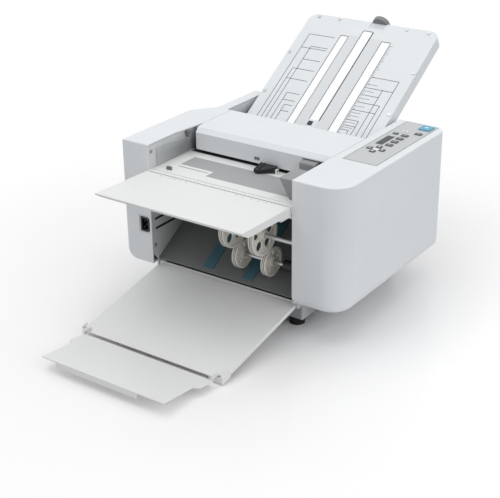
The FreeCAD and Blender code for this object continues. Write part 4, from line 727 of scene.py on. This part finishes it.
def add_ring(mesh, centre, radius, width):
    """A thin band round the x axis."""
    inside = radius - GRIP_THICK
    corners = [(-width / 2, inside), (-width / 2, radius), (width / 2, radius), (width / 2, inside)]
    points = [mesh.verts.new((centre[0] + side, centre[1] + reach, centre[2]))
              for side, reach in corners]
    edges = [mesh.edges.new(ends) for ends in zip(points, points[1:] + points[:1])]
    bmesh.ops.spin(mesh, geom=points + edges, cent=centre, axis=(1.0, 0.0, 0.0),
                   dvec=(0.0, 0.0, 0.0), angle=2 * math.pi, steps=RIM_SEGMENTS, use_merge=True)


class FOLDER_OT_wheel_lines(bpy.types.Operator):
    """Lay two dark grip lines round the rim of each stacker wheel"""
    bl_idname = "folder.wheel_lines"
    bl_label = "Wheel grip lines"

    def execute(self, context):
        colours, sizes, _ = settings()
        material = rubber("grip line", colours.rubber)
        for wheel in WHEELS:
            low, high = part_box(wheel)
            _, y, z = middle(wheel)
            radius = (high[2] - low[2]) / 2 + sizes.print_thick
            step = (high[0] - low[0]) / (RIM_LINES + 1)
            mesh = bmesh.new()
            for line in range(RIM_LINES):
                add_ring(mesh, (low[0] + step * (line + 1), y, z), radius, sizes.line_width)
            add_piece(wheel + "_grip", mesh, material, wheel)
        return {"FINISHED"}


GUIDE_RISE = 0.0155
GUIDE_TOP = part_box("inner_guide")[0][2] + GUIDE_RISE
WALL_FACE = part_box("left_side_frame")[1][0]
PLATE_TOP = 0.29792
CLIP_LAYERS = 60
DASH_LONG = 0.0035
DASH_WIDE = 0.0012
DASH_Y = -0.1525


def on_wall(row, thick):
    """The corners of a slot mark on the inner wall: front, back, middle height and height."""
    front, back, height, tall = row
    return (WALL_FACE, front, height - tall / 2), (WALL_FACE + 2 * thick, back, height + tall / 2)


def on_guide(row, thick):
    """The corners of a mark on the inner guide's top: left, right, front and back."""
    left, right, front, back = row
    return (left, front, GUIDE_TOP), (right, back, GUIDE_TOP + thick)


def over_guide(row, thick):
    """The corners of a mark that lies over another mark on the inner guide."""
    return on_guide(row, 2 * thick)


def clip_on_guide(row, thick):
    """The corners of a small clip that stands on the inner guide."""
    return on_guide(row, CLIP_LAYERS * thick)


def on_plate(x, thick):
    """The corners of a dash on the front fold plate, near its inner edge."""
    return ((x - DASH_LONG / 2, DASH_Y - DASH_WIDE / 2, PLATE_TOP - thick),
            (x + DASH_LONG / 2, DASH_Y + DASH_WIDE / 2, PLATE_TOP + thick))


# Flat marks on the machine's frame: name, colour, how each row is placed, and the rows.
FLAT_MARKS = [
    ("wall_slots", "black", on_wall,
     [(-0.1257, -0.0727, 0.1765, 0.0055), (-0.1247, -0.0447, 0.1535, 0.0055)]),
    ("guide_band", "band_dark", on_guide,
     [(-0.174, 0.136, -0.0717, -0.0197), (-0.084, 0.136, -0.1007, -0.0717)]),
    # Its second row is painted shade: a dark strip on the guide's top just under the top cover's
    # front edge, standing in for the shaded opening to the rollers.
    ("guide_slot_line", "dark", over_guide,
     [(-0.171, -0.089, -0.0845, -0.0828), (-0.205, 0.155, 0.0083, 0.0213)]),
    ("guide_clip", "catch", clip_on_guide, [(-0.180, -0.168, -0.1147, -0.1097)]),
    ("plate_dashes", "key", on_plate,
     [-0.164, -0.142, -0.134, -0.126, -0.112, -0.096, 0.034, 0.051, 0.072, 0.090, 0.108]),
]


class FOLDER_OT_small_marks(bpy.types.Operator):
    """Add the dark slots in the inner wall, the marks, a strip of painted shade and the clip on the
    guide, and the dashes on the fold plate
    """
    bl_idname = "folder.small_marks"
    bl_label = "Small marks"

    def execute(self, context):
        colours, sizes, _ = settings()
        for name, colour, place, rows in FLAT_MARKS:
            mesh = bmesh.new()
            for row in rows:
                add_bar(mesh, *place(row, sizes.print_thick))
            material = printed(name.replace("_", " "), getattr(colours, colour))
            add_piece(name, mesh, material, BODY)
        return {"FINISHED"}


# Two small plugs in the top cover's front face: how far left or right, and how high.
COVER_PLUGS = [(-0.0275, 0.317), (-0.0205, 0.317)]
PLUG_RADIUS = 0.0038
PLUG_RISE = 0.0008
PLUG_SEGMENTS = 32


class FOLDER_OT_cover_plugs(bpy.types.Operator):
    """Add the two round plugs in the top cover's front face"""
    bl_idname = "folder.cover_plugs"
    bl_label = "Cover plugs"

    def execute(self, context):
        colours = settings()[0]
        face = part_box("top_cover")[0][1]
        plugs = bmesh.new()
        for x, height in COVER_PLUGS:
            place = Matrix.Translation((x, face - PLUG_RISE / 2, height))
            bmesh.ops.create_cone(plugs, cap_ends=True, segments=PLUG_SEGMENTS,
                                  radius1=PLUG_RADIUS, radius2=PLUG_RADIUS, depth=PLUG_RISE,
                                  matrix=place @ Matrix.Rotation(math.pi / 2, 4, "X"))
        add_piece("cover_plugs", plugs, moulded("cover plug", colours.catch), "top_cover")
        return {"FINISHED"}


# The finger recess at the table's top edge, and the grip lines on its floor.
RECESS_LEFT = -0.006
RECESS_RIGHT = 0.036
RECESS_SLOPE = 0.405
RECESS_DEEP = 0.0025
RECESS_MARGIN = 0.004
GRIP_LINES = 3
GRIP_STEP = 0.003
GRIP_WIDE = 0.0012
GRIP_RISE = 0.0006


class FOLDER_OT_recess_grip(bpy.types.Operator):
    """Add the grip lines in the finger recess at the table's top edge"""
    bl_idname = "folder.recess_grip"
    bl_label = "Recess grip"

    def execute(self, context):
        colours = settings()[0]
        grip = bmesh.new()
        for line in range(GRIP_LINES):
            slope = RECESS_SLOPE + GRIP_STEP * line
            add_bar(grip, (RECESS_LEFT + RECESS_MARGIN, slope, -RECESS_DEEP),
                    (RECESS_RIGHT - RECESS_MARGIN, slope + GRIP_WIDE, GRIP_RISE - RECESS_DEEP))
        grip.transform(TABLE)
        add_piece("recess_grip", grip, moulded("recess grip", colours.case), BODY)
        return {"FINISHED"}


# The point the camera looks at, and how far the frame's middle is from the line of sight.
LOOK_AT = Vector((-0.04636, 0.0113, 0.08933))
SHIFT = (-0.0021, 0.0018)
# Each lamp: its name, direction from the machine, distance, width, share of the main power.
LAMPS = [("lamp_main", (-0.50, -0.50, 1.45), 2.6, 1.8, 0.95),
         ("lamp_right", (1.2, -0.35, 0.75), 2.6, 1.6, 0.85),
         ("lamp_top", (0.1, 0.25, 1.4), 2.4, 2.4, 0.8),
         ("lamp_back", (0.2, 1.3, 0.9), 2.8, 1.8, 0.4)]
SENSOR_WIDTH = 36.0
CAMERA_REACH = 50.0
# The floor: half its side, the radius at which it has faded out, and how fast it fades.
FLOOR_HALF = 3.0
FLOOR_FADE = 1.0
FADE_STEEPNESS = 1.6
FLOOR_CLOUD = 0.7
FLOOR_VARY = (0.99, 1.0)
FLOOR_GLOSS = 0.22
WHITE = (1.0, 1.0, 1.0, 1.0)


def larger(tree, first, second):
    """The larger of two sockets' values."""
    most = tree.nodes.new("ShaderNodeMath")
    most.operation = "MAXIMUM"
    tree.links.new(first, most.inputs[0])
    tree.links.new(second, most.inputs[1])
    return most.outputs[0]


def background(tree, strength):
    """White light of a strength."""
    light = tree.nodes.new("ShaderNodeBackground")
    light.inputs["Color"].default_value = WHITE
    light.inputs["Strength"].default_value = strength
    return light.outputs[0]


def white_world(strength):
    """Plain light all round, and a white background behind the machine."""
    world = bpy.data.worlds.new("studio")
    world.use_nodes = True
    tree = world.node_tree
    tree.nodes.clear()
    rays = tree.nodes.new("ShaderNodeLightPath").outputs
    seen = larger(tree, larger(tree, rays["Is Camera Ray"], rays["Is Glossy Ray"]),
                  rays["Is Transmission Ray"])
    mixed = tree.nodes.new("ShaderNodeMixShader")
    tree.links.new(seen, mixed.inputs["Fac"])
    tree.links.new(background(tree, strength), mixed.inputs[1])
    tree.links.new(background(tree, 1.0), mixed.inputs[2])
    output = tree.nodes.new("ShaderNodeOutputWorld")
    tree.links.new(mixed.outputs[0], output.inputs["Surface"])
    bpy.context.scene.world = world


def add_lamp(name, direction, distance, width, power):
    """A square soft lamp that looks at the machine."""
    data = bpy.data.lights.new(name, "AREA")
    data.size = width
    data.energy = power
    lamp = bpy.data.objects.new(name, data)
    away = Vector(direction).normalized()
    lamp.location = LOOK_AT + away * distance
    lamp.rotation_euler = away.to_track_quat("Z", "Y").to_euler()
    bpy.context.collection.objects.link(lamp)


def add_floor(colour):
    """The pale floor under the feet."""
    mesh = bmesh.new()
    bmesh.ops.create_grid(mesh, x_segments=1, y_segments=1, size=FLOOR_HALF)
    data = bpy.data.meshes.new("floor")
    mesh.to_mesh(data)
    mesh.free()
    shader = Shader("floor paint")
    cloud = shader.noise(FLOOR_CLOUD, 2.0)
    reach = shader.node("ShaderNodeTexGradient", {"gradient_type": "SPHERICAL"},
                        {"Vector": shader.stretched((1 / FLOOR_FADE,) * 3)})
    inside = shader.maths("MINIMUM", FADE_STEEPNESS * Value(shader, reach.outputs["Fac"]), 1.0)
    data.materials.append(shader.surface({
        "Base Color": shader.tone(cloud, colour, FLOOR_VARY),
        "Roughness": FLOOR_GLOSS, "Specular IOR Level": 0.45, "Alpha": inside}))
    floor = bpy.data.objects.new("floor", data)
    bpy.context.collection.objects.link(floor)


def add_camera(stage):
    """The camera, placed by its turn, elevation and distance from the machine."""
    turn, height = stage.camera_turn, stage.camera_height
    back = Vector((math.sin(turn) * math.cos(height), -math.cos(turn) * math.cos(height),
                   math.sin(height)))
    data = bpy.data.cameras.new("camera")
    data.lens = stage.camera_lens
    data.sensor_width = SENSOR_WIDTH
    data.shift_x, data.shift_y = SHIFT
    data.clip_end = CAMERA_REACH
    camera = bpy.data.objects.new("camera", data)
    facing = back.to_track_quat("Z", "Y").to_matrix().to_4x4()
    camera.matrix_world = (Matrix.Translation(LOOK_AT + back * stage.camera_distance) @ facing
                           @ Matrix.Rotation(stage.camera_roll, 4, "Z"))
    bpy.context.collection.objects.link(camera)
    bpy.context.scene.camera = camera


class FOLDER_OT_stage(bpy.types.Operator):
    """Set up the floor, the soft lamps, the white background and the camera"""
    bl_idname = "folder.stage"
    bl_label = "Stage"

    def execute(self, context):
        stage = settings()[2]
        context.scene.view_settings.view_transform = "Standard"
        white_world(stage.sky_strength)
        for name, direction, distance, width, share in LAMPS:
            add_lamp(name, direction, distance, width, share * stage.lamp_power)
        add_floor(stage.floor_colour)
        add_camera(stage)
        return {"FINISHED"}


OPERATORS = [FOLDER_OT_finishes, FOLDER_OT_table_print, FOLDER_OT_key_marks,
             FOLDER_OT_panel_print, FOLDER_OT_wheel_lines, FOLDER_OT_small_marks,
             FOLDER_OT_cover_plugs, FOLDER_OT_recess_grip, FOLDER_OT_stage]


class FOLDER_PT_panel(bpy.types.Panel):
    """The machine's pieces, one button each"""
    bl_idname = "FOLDER_PT_panel"
    bl_label = "Folder"
    bl_space_type = "VIEW_3D"
    bl_region_type = "UI"
    bl_category = "Folder"

    def draw(self, context):
        for operator in OPERATORS:
            self.layout.operator(operator.bl_idname)
        for group in settings():
            for name in group.bl_rna.properties.keys():
                if name not in ("rna_type", "name"):
                    self.layout.prop(group, name)


CLASSES = [FolderColours, FolderSizes, FolderStage, *OPERATORS, FOLDER_PT_panel]


def register():
    for item in CLASSES:
        bpy.utils.register_class(item)
    bpy.types.Scene.folder_colours = bpy.props.PointerProperty(type=FolderColours)
    bpy.types.Scene.folder_sizes = bpy.props.PointerProperty(type=FolderSizes)
    bpy.types.Scene.folder_stage = bpy.props.PointerProperty(type=FolderStage)


def unregister():
    del bpy.types.Scene.folder_stage
    del bpy.types.Scene.folder_sizes
    del bpy.types.Scene.folder_colours
    for item in reversed(CLASSES):
        bpy.utils.unregister_class(item)


def main():
    """Build every piece in order."""
    register()
    bpy.ops.folder.finishes()
    bpy.ops.folder.table_print()
    bpy.ops.folder.key_marks()
    bpy.ops.folder.panel_print()
    bpy.ops.folder.wheel_lines()
    bpy.ops.folder.small_marks()
    bpy.ops.folder.cover_plugs()
    bpy.ops.folder.recess_grip()
    bpy.ops.folder.stage()


if __name__ == "__main__":
    main()
